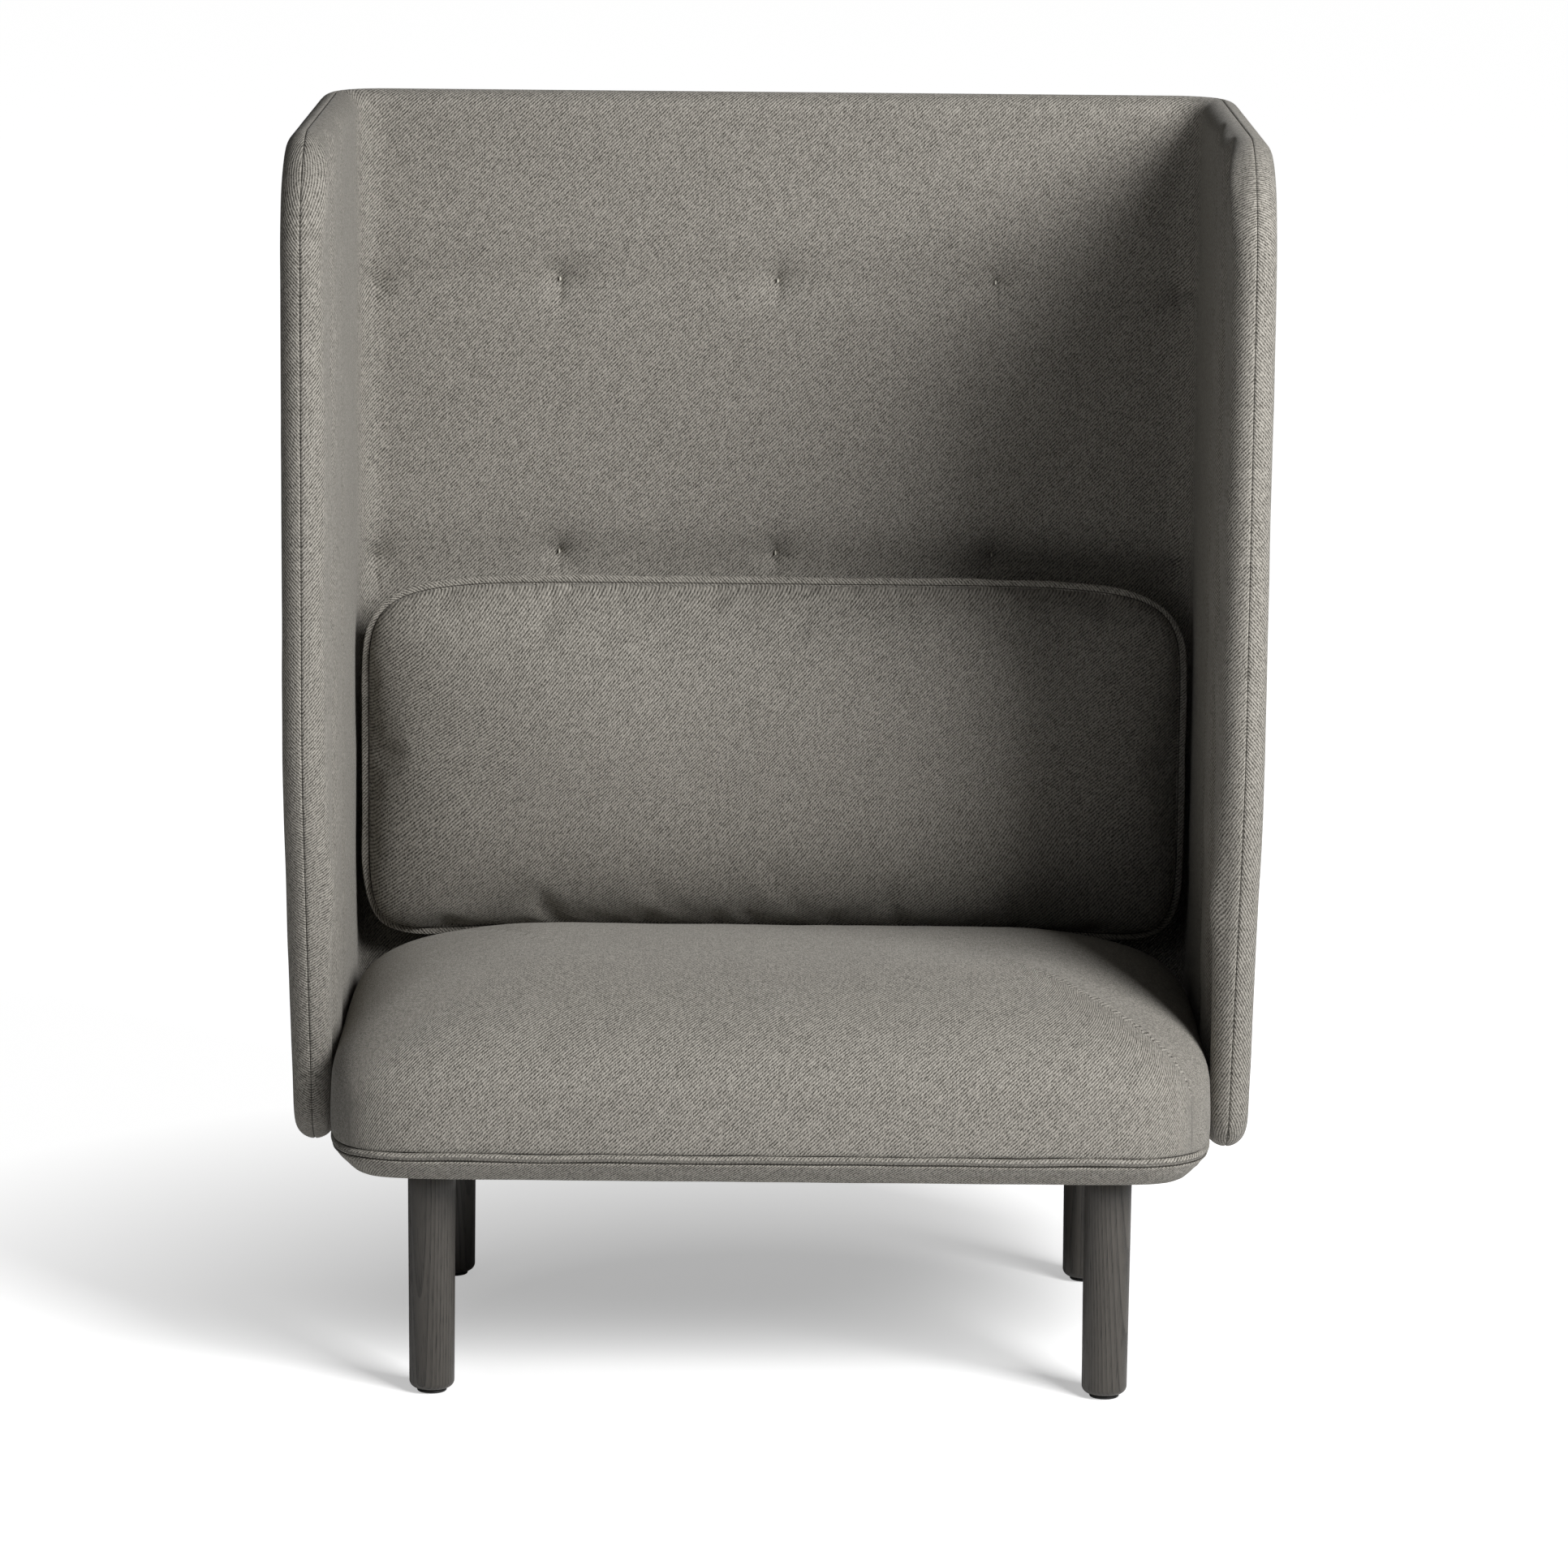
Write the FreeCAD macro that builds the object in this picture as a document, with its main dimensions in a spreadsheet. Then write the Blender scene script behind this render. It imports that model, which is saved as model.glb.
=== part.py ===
import FreeCAD, Part
import math
import os
import Sketcher

# Acoustic high back lounge chair, in millimetres.
# +Z is up, the chair faces -Y, and +X is to the right of someone who looks at its front.
# The origin is on the floor, under the middle of the chair's outer box.

SIZES = {
    # whole chair
    "overall_width": 1060.0,
    "overall_height": 1390.0,
    "overall_depth": 690.0,
    # upholstered shell: a high back and two wings in one bent sheet
    "shell_bottom_height": 258.0,
    "shell_thickness": 45.0,
    "shell_corner_radius": 75.0,
    "shell_inner_corner_radius": 32.0,
    "wing_front_setback": 15.0,
    "wing_rake_height": 700.0,
    "wing_rake_setback": 150.0,
    "wing_rake_radius": 400.0,
    "wing_top_radius": 130.0,
    "wing_bottom_radius": 70.0,
    "rim_chamfer": 12.5,
    "cover_thickness": 2.0,
    "outer_foam_thickness": 8.5,
    "ply_thickness": 12.0,
    "ply_rim_margin": 20.0,
    "parting_margin": 5.0,
    # tufts, tied through the inner pad to toggles behind the plywood
    "tuft_top_height": 1173.0,
    "tuft_row_pitch": 319.0,
    "tuft_column_pitch": 252.0,
    "tuft_wing_distance": 290.0,
    "tuft_depth": 9.0,
    "tuft_radius": 36.0,
    "tuft_corner_radius": 9.0,
    "tuft_bottom_radius": 4.0,
    "tape_width": 4.0,
    "tape_thickness": 1.5,
    "toggle_length": 22.0,
    "toggle_width": 7.0,
    "toggle_thickness": 1.5,
    # seat pad
    "seat_side_gap": 1.0,
    "seat_rear_gap": 0.5,
    "seat_side_height": 350.0,
    "seat_crown_height": 467.0,
    "seat_roll_reach": 240.0,
    "seat_corner_radius": 85.0,
    "welt_height": 288.0,
    "welt_diameter": 8.0,
    "band_taper": 26.0,
    # timber seat frame
    "frame_height": 258.0,
    "frame_side_inset": 30.0,
    "frame_front_inset": 34.0,
    "frame_rear_gap": 3.5,
    "frame_corner_radius": 58.0,
    "rail_thickness": 26.0,
    "rail_depth": 60.0,
    "cross_rail_depth": 42.0,
    "block_depth": 40.0,
    "block_side_reach": 42.0,
    "block_rear_reach": 58.0,
    "block_chamfer": 30.0,
    # woven seat webbing
    "webbing_width": 70.0,
    "webbing_thickness": 1.5,
    "webbing_ease": 2.0,
    "webbing_end_margin": 6.0,
    # cloth under the seat
    "cloth_thickness": 1.2,
    "cloth_gap": 1.0,
    # legs
    "leg_side_inset": 82.0,
    "leg_front_inset": 61.0,
    "leg_rear_inset": 46.0,
    "leg_diameter": 52.8,
    "leg_plate_width": 60.0,
    "leg_plate_thickness": 3.0,
    "leg_bolt_diameter": 8.0,
    "leg_bolt_depth": 40.0,
    "leg_bolt_clearance": 0.3,
    "leg_bolt_across_flats": 13.0,
    "leg_bolt_head_height": 5.5,
    # levelling glides
    "glide_diameter": 33.0,
    "glide_height": 4.0,
    "glide_gap": 0.5,
    "glide_stem_diameter": 8.0,
    "glide_stem_clearance": 0.05,
    "glide_stem_length": 22.0,
    "glide_bore_depth": 34.0,
    # ledgers that carry the seat frame inside the plywood
    "ledger_front_inset": 191.0,
    "ledger_rear_inset": 56.0,
    "rear_ledger_side_inset": 124.0,
    # loose lumbar cushion
    "cushion_side_gap": 16.0,
    "cushion_top_height": 830.0,
    "cushion_thickness": 150.0,
    "cushion_corner_radius": 80.0,
    "cushion_edge_reach": 70.0,
    "cushion_gap": 0.6,
    "flange_width": 8.0,
    "flange_thickness": 3.0,
}

TUFT_ROWS = 2
TUFT_SIDES = 6
SEAT_ROLL_STEPS = 5
CUSHION_ROLL_STEPS = 3
CORNER_STEPS = 4
PEG_SIDES = 8
GLIDE_SIDES = 24
STRAP_ROWS = 4
STRAP_COLUMNS = 6
SIDES = (("left", -1), ("right", 1))
ENDS = (("front", -1), ("rear", 1))

doc = FreeCAD.newDocument("acoustic_lounge_chair")
sheet = doc.addObject("Spreadsheet::Sheet", "Sizes")
for row, (alias, value) in enumerate(SIZES.items(), start=1):
    sheet.set(f"A{row}", alias)
    sheet.set(f"B{row}", str(value))
    sheet.setAlias(f"B{row}", alias)
doc.recompute()


def named(words):
    """Turn bare size names in an expression into references to the sheet."""
    out = ""
    word = ""
    for letter in words + " ":
        if letter.isalnum() or letter == "_":
            word += letter
            continue
        out += f"Sizes.{word}" if word in SIZES else word
        out += letter
        word = ""
    return out.strip()


def size(words):
    """Value in millimetres of an expression in size names."""
    value = sheet.evalExpression(named(words))
    return float(getattr(value, "Value", value))


# Places that several pieces share, as expressions in the sizes
HALF_WIDTH = "(overall_width / 2)"
BACK_FACE = "(overall_depth / 2)"
SEAT_FRONT = "(-overall_depth / 2)"
WING_INNER_X = "(overall_width / 2 - shell_thickness)"
BACK_INNER_Y = "(overall_depth / 2 - shell_thickness)"
WING_FRONT = "(wing_front_setback - overall_depth / 2)"
WING_FOOT_Y = "(wing_front_setback + wing_rake_setback - overall_depth / 2)"
RAKE = "(wing_rake_setback / (wing_rake_height - shell_bottom_height))"
PLY_OUTER_INSET = "(cover_thickness + outer_foam_thickness)"
PLY_INNER_INSET = "(cover_thickness + outer_foam_thickness + ply_thickness)"
SEAT_HALF_WIDTH = f"({WING_INNER_X} - seat_side_gap)"
SEAT_REAR = f"({BACK_INNER_Y} - seat_rear_gap)"
WELT_TOP = "(welt_height + welt_diameter / 2)"
WELT_BOTTOM = "(welt_height - welt_diameter / 2)"
FRAME_HALF_WIDTH = f"({SEAT_HALF_WIDTH} - frame_side_inset)"
FRAME_FRONT = f"({SEAT_FRONT} + frame_front_inset)"
FRAME_REAR = f"({SEAT_REAR} - frame_rear_gap)"
RAIL_TOP = "(frame_height + rail_depth)"
WEBBING_TOP = f"({RAIL_TOP} + 2 * webbing_thickness)"
BAND_FOOT = "(frame_height - cloth_thickness)"
LEG_X = f"({FRAME_HALF_WIDTH} - leg_side_inset)"
LEG_FRONT_Y = f"({FRAME_FRONT} + leg_front_inset)"
LEG_REAR_Y = f"({FRAME_REAR} - leg_rear_inset)"
LEG_TOP = "(frame_height - leg_plate_thickness)"
LEG_FOOT = "(glide_height + glide_gap)"
BLOCK_TOP = "(frame_height + block_depth)"
CUSHION_HALF_WIDTH = f"({SEAT_HALF_WIDTH} - cushion_side_gap)"
CUSHION_Y = f"({BACK_INNER_Y} - cushion_gap - cushion_thickness / 2)"


def origin_plane(body, role):
    """A body's own origin plane, by its role."""
    return [item for item in body.Origin.OriginFeatures if item.Role == role][0]


def new_sketch(body, name, plane, lift="0"):
    """Sketch on one of a body's own planes, lifted along its normal."""
    sketch = body.newObject("Sketcher::SketchObject", name)
    sketch.AttachmentSupport = [(origin_plane(body, plane), "")]
    sketch.MapMode = "FlatFace"
    sketch.setExpression("AttachmentOffset.Base.z", named(lift))
    return sketch


def pin_point(sketch, line, end, words_x, words_y):
    """Hold one end of a sketch line at a place given by two expressions."""
    for kind, words in (("DistanceX", words_x), ("DistanceY", words_y)):
        index = sketch.addConstraint(Sketcher.Constraint(kind, -1, 1, line, end, size(words)))
        sketch.setExpression(f"Constraints[{index}]", named(words))


def outline(sketch, points):
    """Closed outline of straight lines through points given as pairs of expressions."""
    corners = [FreeCAD.Vector(size(px), size(py), 0) for px, py in points]
    count = len(corners)
    for i in range(count):
        sketch.addGeometry(Part.LineSegment(corners[i], corners[(i + 1) % count]), False)
    for i in range(count):
        sketch.addConstraint(Sketcher.Constraint("Coincident", i, 2, (i + 1) % count, 1))
    for i, (px, py) in enumerate(points):
        pin_point(sketch, i, 1, px, py)


def new_body(name):
    """Empty body with its label."""
    body = doc.addObject("PartDesign::Body", name)
    body.Label = name
    return body


def padded(body, name, sketch, length):
    """Pad of a sketch."""
    pad = body.newObject("PartDesign::Pad", name)
    pad.Profile = sketch
    pad.setExpression("Length", named(length))
    doc.recompute()
    return pad


def rounded(body, name, base, edges, radius, kind="Fillet"):
    """Fillet, or a chamfer, along the named edges of a feature."""
    if not edges:
        raise RuntimeError(f"{body.Label}: no edge found for {name}")
    dressed = body.newObject(f"PartDesign::{kind}", name)
    dressed.Base = (base, edges)
    dressed.setExpression("Radius" if kind == "Fillet" else "Size", named(radius))
    doc.recompute()
    return dressed


def edges_where(shape, test):
    """Names of the straight edges that pass a test of their direction and middle."""
    found = []
    for i, edge in enumerate(shape.Edges, start=1):
        if not isinstance(edge.Curve, Part.Line):
            continue
        direction = edge.tangentAt(edge.FirstParameter)
        if test(direction, edge.CenterOfMass):
            found.append(f"Edge{i}")
    return found


def near(value, words, reach=0.01):
    """Whether a coordinate is at the place that an expression gives."""
    return abs(value - size(words)) < reach


def boolean(kind, name, base, tool):
    """Part::Cut or Part::Common of two objects."""
    result = doc.addObject(f"Part::{kind}", name)
    result.Base = base
    result.Tool = tool
    result.Label = name
    doc.recompute()
    return result


def coded(name, shapes):
    """Feature whose shape is worked out in code from the sheet's sizes."""
    feature = doc.addObject("Part::Feature", name)
    feature.Shape = shapes[0] if len(shapes) == 1 else Part.makeCompound(shapes)
    feature.Label = name
    return feature


def primitive(kind, name, sizes, place):
    """Part primitive with its sizes and its place given by expressions."""
    item = doc.addObject(f"Part::{kind}", name)
    item.Label = name
    for field, words in sizes.items():
        item.setExpression(field, named(words))
    for axis, words in zip("xyz", place):
        item.setExpression(f"Placement.Base.{axis}", named(words))
    doc.recompute()
    return item


def block(name, x_range, y_range, z_range):
    """Box between two places along each axis."""
    lows = [low for low, _ in (x_range, y_range, z_range)]
    spans = [f"({high}) - ({low})" for low, high in (x_range, y_range, z_range)]
    return primitive("Box", name, dict(zip(("Length", "Width", "Height"), spans)), lows)


def polygon_ring(centre, across, up, radius, sides):
    """Corners of a regular polygon in the plane of two directions."""
    points = []
    for i in range(sides):
        turn = 2 * math.pi * i / sides
        points.append(centre + across * (radius * math.cos(turn)) + up * (radius * math.sin(turn)))
    return points


def flat_face(points):
    """Face inside a closed ring of points in one plane."""
    return Part.Face(Part.makePolygon(points + points[:1]))


def ring_solid(rings):
    """Solid through rings of points that lie side by side, with a flat face between each two edges."""
    faces = [flat_face(rings[0]), flat_face(rings[-1])]
    for low, high in zip(rings, rings[1:]):
        for i in range(len(low)):
            faces.append(flat_face([low[i - 1], low[i], high[i], high[i - 1]]))
    solid = Part.Solid(Part.Shell(faces))
    if solid.Volume < 0:
        solid.reverse()
    return solid


def upright_peg(radius, place_x, place_y, low, high):
    """Straight round peg or bore, drawn with a few flat sides."""
    foot = FreeCAD.Vector(place_x, place_y, low)
    ring = polygon_ring(foot, FreeCAD.Vector(1, 0, 0), FreeCAD.Vector(0, 1, 0), radius, PEG_SIDES)
    return flat_face(ring).extrude(FreeCAD.Vector(0, 0, high - low))


# Upholstered shell

def shell_form(name, outer_inset, inner_inset, rim_inset, rim=None):
    """Back and wings as one bent slab, inset from the finished faces and from the rim."""
    body = new_body(name)
    out_x = f"({HALF_WIDTH} - {outer_inset})"
    out_y = f"({BACK_FACE} - {outer_inset})"
    in_x = f"({WING_INNER_X} + {inner_inset})"
    in_y = f"({BACK_INNER_Y} + {inner_inset})"
    front = f"({WING_FRONT} + {rim_inset})"
    foot = f"(shell_bottom_height + {rim_inset})"
    top = f"(overall_height - {rim_inset})"
    plan = new_sketch(body, name + "_plan", "XY_Plane", lift=foot)
    outline(plan, [
        (f"-{out_x}", front), (f"-{in_x}", front), (f"-{in_x}", in_y), (in_x, in_y),
        (in_x, front), (out_x, front), (out_x, out_y), (f"-{out_x}", out_y),
    ])
    slab = padded(body, name + "_slab", plan, f"{top} - {foot}")

    def upright_at(place_x, place_y):
        return lambda way, mid: abs(way.z) > 0.99 and near(abs(mid.x), place_x) and near(mid.y, place_y)

    bend = rounded(body, name + "_outer_bend", slab, edges_where(slab.Shape, upright_at(out_x, out_y)),
                   f"shell_corner_radius - {outer_inset}")
    bend = rounded(body, name + "_inner_bend", bend, edges_where(bend.Shape, upright_at(in_x, in_y)),
                   f"shell_inner_corner_radius + {inner_inset}")

    # The wings' front edge leans back towards the foot, by the same rake on every layer
    rake_shift = f"({rim_inset} * sqrt(1 + {RAKE} ^ 2))"
    rake_foot = f"({WING_FOOT_Y} + {rake_shift} - {RAKE} * {rim_inset})"
    rake_top = f"({foot} + ({rake_foot} - {front}) / {RAKE})"
    below = f"({foot} - shell_thickness)"
    ahead = f"({front} - shell_thickness)"
    rake = new_sketch(body, name + "_rake", "YZ_Plane")
    outline(rake, [
        (front, rake_top), (rake_foot, foot), (f"{rake_foot} + {RAKE} * shell_thickness", below),
        (ahead, below), (ahead, rake_top),
    ])
    pocket = body.newObject("PartDesign::Pocket", name + "_rake_cut")
    pocket.Profile = rake
    pocket.Midplane = True
    pocket.setExpression("Length", named("overall_width * 2"))
    doc.recompute()

    def level_at(place_y, place_z):
        return lambda way, mid: abs(way.x) > 0.99 and near(mid.y, place_y) and near(mid.z, place_z)

    last = pocket
    for corner, place_y, place_z, radius in (
        ("top", front, top, "wing_top_radius"),
        ("rake", front, rake_top, "wing_rake_radius"),
        ("foot", rake_foot, foot, "wing_bottom_radius"),
    ):
        edges = edges_where(last.Shape, level_at(place_y, place_z))
        last = rounded(body, f"{name}_{corner}_corner", last, edges, f"{radius} - {rim_inset}")
    if rim:
        edges = edges_where(last.Shape, lambda way, mid: abs(way.x) > 0.99 and near(mid.z, top)
                            and (near(mid.y, out_y) or near(mid.y, in_y)))
        rounded(body, name + "_rim", last, edges, rim, "Chamfer")
    return body


UP = FreeCAD.Vector(0, 0, 1)


def tuft_places():
    """Each tuft: its place on the inner face, the way out of the pad, and its hollow's radius."""
    face_x = size(WING_INNER_X)
    face_y = size(BACK_INNER_Y)
    bend = size("shell_inner_corner_radius")
    bend_reach = bend * (1 - math.sqrt(0.5))
    pitch = size("tuft_column_pitch")
    wing_y = face_y - size("tuft_wing_distance")
    wide = size("tuft_radius")
    tight = size("tuft_corner_radius")
    places = []
    for row in range(TUFT_ROWS):
        height = size(f"tuft_top_height - {row} * tuft_row_pitch")
        for column in (-1, 0, 1):
            places.append((FreeCAD.Vector(column * pitch, face_y, height), FreeCAD.Vector(0, -1, 0), wide))
        for _, side in SIDES:
            wing_place = FreeCAD.Vector(side * face_x, wing_y, height)
            places.append((wing_place, FreeCAD.Vector(-side, 0, 0), wide))
            corner = FreeCAD.Vector(side * (face_x - bend_reach), face_y - bend_reach, height)
            places.append((corner, FreeCAD.Vector(-side, -1, 0).normalize(), tight))
    return places


def hollows(name, cover):
    """Tapered hollows that press the tufts into a face that lies a cover's thickness deeper."""
    depth = size("tuft_depth")
    bottom = size("tuft_bottom_radius")
    shapes = []
    for place, way, radius in tuft_places():
        rings = [
            polygon_ring(place - way * (depth + cover), way.cross(UP), UP, bottom, TUFT_SIDES),
            polygon_ring(place + way * (depth - cover), way.cross(UP), UP, 2 * radius - bottom, TUFT_SIDES),
        ]
        shapes.append(ring_solid(rings))
    return coded(name, shapes)


def corner_depth(way, depth):
    """Depth under a tuft in the corner, where the outer bend is not parallel to the inner one."""
    if 0 in way[:2]:
        return depth
    bend = size("shell_inner_corner_radius")
    layer = size("shell_thickness") - depth
    outer = size("shell_corner_radius") - layer
    offset = size("shell_thickness") + bend - size("shell_corner_radius")
    return offset * math.sqrt(2) + outer - bend


def bar(place, way, width, height, from_depth, to_depth):
    """Square-edged bar on a tuft's line, between two depths under the inner face."""
    face_centre = place - way * to_depth
    across = way.cross(UP)
    corners = [face_centre + across * (width / 2 * i) + UP * (height / 2 * j)
               for i, j in ((-1, -1), (1, -1), (1, 1), (-1, 1))]
    return flat_face(corners).extrude(way * (to_depth - from_depth))


TIE_FRONT = size("tuft_depth + cover_thickness")
PLY_BACK = size(f"shell_thickness - {PLY_OUTER_INSET}")
TOGGLE_BACK = PLY_BACK + size("toggle_thickness")
TOGGLE_SIZES = (size("toggle_width"), size("toggle_length"))

tuft_ties = coded("tuft_ties", [
    bar(place, way, size("tape_thickness"), size("tape_width"), TIE_FRONT, corner_depth(way, PLY_BACK))
    for place, way, _ in tuft_places()
])
tuft_toggles = coded("tuft_toggles", [
    bar(place, way, *TOGGLE_SIZES, corner_depth(way, PLY_BACK), corner_depth(way, TOGGLE_BACK))
    for place, way, _ in tuft_places()
])
# The bend is round and the toggles are flat, so their room in the pad starts a little inside the plywood
toggle_room = coded("toggle_room", [
    bar(place, way, *TOGGLE_SIZES, corner_depth(way, PLY_BACK) - size("toggle_thickness"),
        corner_depth(way, TOGGLE_BACK))
    for place, way, _ in tuft_places()
])

finished_form = shell_form("finished_form", "0", "0", "0", "rim_chamfer")
padding_form = shell_form("padding_form", "cover_thickness", "cover_thickness", "cover_thickness",
                          "rim_chamfer - (2 - sqrt(2)) * cover_thickness")
ply_form = shell_form("ply_form", PLY_OUTER_INSET, f"(shell_thickness - {PLY_INNER_INSET})", "ply_rim_margin")
# The covers and pads part at the middle of the rim, where the seam runs
inner_side = shell_form("inner_side", PLY_INNER_INSET, "(-parting_margin)", "(-parting_margin)")

# Ledgers on the plywood's inner face, which carry the seat frame
PLY_INNER_X = f"({HALF_WIDTH} - {PLY_INNER_INSET})"
PLY_INNER_Y = f"({BACK_FACE} - {PLY_INNER_INSET})"
LEDGER_Y = (f"{FRAME_FRONT} + ledger_front_inset", f"{FRAME_REAR} - ledger_rear_inset")
REAR_LEDGER_X = f"({FRAME_HALF_WIDTH} - rear_ledger_side_inset)"
LEDGER_Z = (WELT_TOP, RAIL_TOP)
seat_ledger_left = block("seat_ledger_left", (f"-{PLY_INNER_X}", f"-{FRAME_HALF_WIDTH}"), LEDGER_Y, LEDGER_Z)
seat_ledger_right = block("seat_ledger_right", (FRAME_HALF_WIDTH, PLY_INNER_X), LEDGER_Y, LEDGER_Z)
seat_ledger_rear = block("seat_ledger_rear", (f"-{REAR_LEDGER_X}", REAR_LEDGER_X),
                         (FRAME_REAR, PLY_INNER_Y), LEDGER_Z)
ledger_room = doc.addObject("Part::Compound", "ledger_room")
ledger_room.Links = [seat_ledger_left, seat_ledger_right, seat_ledger_rear]
doc.recompute()

tufted_finish = boolean("Cut", "tufted_finish", finished_form, hollows("finish_hollows", 0))
tufted_padding = boolean("Cut", "tufted_padding", padding_form,
                         hollows("padding_hollows", size("cover_thickness")))
covers = boolean("Cut", "covers", tufted_finish, tufted_padding)
inner_cover = boolean("Common", "inner_cover", covers, inner_side)
back_cover_inner = boolean("Cut", "back_cover_inner", inner_cover, ledger_room)
back_cover_outer = boolean("Cut", "back_cover_outer", covers, inner_side)

pads = boolean("Cut", "pads", tufted_padding, ply_form)
tied_pads = boolean("Cut", "tied_pads", pads, tuft_ties)
inner_pad = boolean("Common", "inner_pad", tied_pads, inner_side)
back_pad_inner = boolean("Cut", "back_pad_inner", inner_pad, ledger_room)
outer_pad = boolean("Cut", "outer_pad", tied_pads, inner_side)
back_pad_outer = boolean("Cut", "back_pad_outer", outer_pad, toggle_room)

back_plywood = boolean("Cut", "back_plywood", ply_form, tuft_ties)


# Seat pad

def rounded_loop(half_width, front, rear, radius, height):
    """Points round a rectangle whose corners are rounded in short straight steps."""
    centre_x = half_width - radius
    points = []
    for middle_x, middle_y, first in (
        (centre_x, rear - radius, 0), (-centre_x, rear - radius, 1),
        (-centre_x, front + radius, 2), (centre_x, front + radius, 3),
    ):
        for step in range(CORNER_STEPS + 1):
            turn = math.pi / 2 * (first + step / CORNER_STEPS)
            points.append(FreeCAD.Vector(middle_x + radius * math.cos(turn),
                                         middle_y + radius * math.sin(turn), height))
    return points


def seat_loop(inset, height, taper=0.0, radius_share=1.0):
    """Seat outline at a height, inset all round, and its front and sides drawn in by a taper."""
    radius = (size("seat_corner_radius") - taper / 2) * radius_share
    return rounded_loop(size(SEAT_HALF_WIDTH) - inset - taper, size(SEAT_FRONT) + inset + taper,
                        size(SEAT_REAR) - inset, radius, height)


def seat_form(name, inset):
    """Domed seat block, inset from the finished seat: upright sides, then an elliptic roll to the crown."""
    reach = size("seat_roll_reach")
    rise = size("seat_crown_height - seat_side_height")
    loops = []
    for step in range(SEAT_ROLL_STEPS + 1):
        angle = math.pi / 2 * step / SEAT_ROLL_STEPS
        normal = FreeCAD.Vector(math.cos(angle) / reach, math.sin(angle) / rise, 0).normalize()
        draw = reach * (1 - math.cos(angle)) + inset * normal.x
        height = size("seat_side_height") + rise * math.sin(angle) - inset * normal.y
        loops.append(seat_loop(draw, height, radius_share=0.5 + 0.5 * math.cos(angle)))
    foot = [FreeCAD.Vector(point.x, point.y, size(WELT_TOP)) for point in loops[0]]
    return coded(name, [ring_solid([foot] + loops)])


def seat_height_at(inset):
    """Height of the seat at a distance from its edge."""
    share = 1 - inset / size("seat_roll_reach")
    rise = size("seat_crown_height - seat_side_height")
    return size("seat_side_height") + rise * math.sqrt(1 - share ** 2)


def frame_slab(name, low, high):
    """Slab of the seat frame's plan, with its corners rounded, between two heights."""
    body = new_body(name)
    plan = new_sketch(body, name + "_plan", "XY_Plane", lift=low)
    outline(plan, [
        (f"-{FRAME_HALF_WIDTH}", FRAME_FRONT), (FRAME_HALF_WIDTH, FRAME_FRONT),
        (FRAME_HALF_WIDTH, FRAME_REAR), (f"-{FRAME_HALF_WIDTH}", FRAME_REAR),
    ])
    slab = padded(body, name + "_block", plan, f"{high} - {low}")
    rounded(body, name + "_corners", slab, edges_where(slab.Shape, lambda way, mid: abs(way.z) > 0.99),
            "frame_corner_radius")
    return body


frame_room = frame_slab("frame_room", BAND_FOOT, WEBBING_TOP)
seat_finish = seat_form("seat_finish", 0)
seat_padding = seat_form("seat_padding", size("cover_thickness"))
seat_skin = boolean("Cut", "seat_skin", seat_finish, seat_padding)
seat_cover = boolean("Cut", "seat_cover", seat_skin, ledger_room)
seat_block = boolean("Cut", "seat_block", seat_padding, frame_room)
seat_pad = boolean("Cut", "seat_pad", seat_block, ledger_room)

welt_radius = size("welt_diameter / 2")
welt_flat = welt_radius * math.tan(math.pi / 8)
welt_levels = [size("welt_height") + lift for lift in (-welt_radius, -welt_flat, welt_flat, welt_radius)]
welt_outer_draws = (welt_radius - welt_flat, 0, 0, welt_radius - welt_flat)
welt_outside = ring_solid([seat_loop(draw, level) for draw, level in zip(welt_outer_draws, welt_levels)])
welt_inside = ring_solid([seat_loop(2 * welt_radius - draw, level)
                          for draw, level in zip(welt_outer_draws, welt_levels)])
welt_ring = coded("welt_ring", [welt_outside.cut(welt_inside)])
seat_welt = boolean("Cut", "seat_welt", welt_ring, frame_room)

band_block = ring_solid([seat_loop(0, size(WELT_BOTTOM)),
                         seat_loop(0, size(BAND_FOOT), size("band_taper"))])
band_solid = coded("band_solid", [band_block])
seat_band = boolean("Cut", "seat_band", band_solid, frame_room)


def rail(name, x_range, y_range, depth="rail_depth"):
    """Straight rail with its lower face at the frame's height, its outer corners rounded with the frame's."""
    timber = block(name + "_timber", x_range, y_range, ("frame_height", f"(frame_height + {depth})"))
    return boolean("Common", name, timber, frame_room)


RAIL_IN_X = f"({FRAME_HALF_WIDTH} - rail_thickness)"
RAIL_IN_FRONT = f"({FRAME_FRONT} + rail_thickness)"
RAIL_IN_REAR = f"({FRAME_REAR} - rail_thickness)"
FULL_WIDTH = (f"-{FRAME_HALF_WIDTH}", FRAME_HALF_WIDTH)
BETWEEN_RAILS = (RAIL_IN_FRONT, RAIL_IN_REAR)
rail_front = rail("rail_front", FULL_WIDTH, (FRAME_FRONT, RAIL_IN_FRONT))
rail_rear = rail("rail_rear", FULL_WIDTH, (RAIL_IN_REAR, FRAME_REAR))
rail_left = rail("rail_left", (f"-{FRAME_HALF_WIDTH}", f"-{RAIL_IN_X}"), BETWEEN_RAILS)
rail_right = rail("rail_right", (RAIL_IN_X, FRAME_HALF_WIDTH), BETWEEN_RAILS)
rail_middle = rail("rail_middle", ("-rail_thickness / 2", "rail_thickness / 2"), BETWEEN_RAILS,
                   "cross_rail_depth")


def leg_place(side, end):
    """Leg's axis in plan, as two expressions."""
    return f"{side} * {LEG_X}", LEG_REAR_Y if end > 0 else LEG_FRONT_Y


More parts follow.
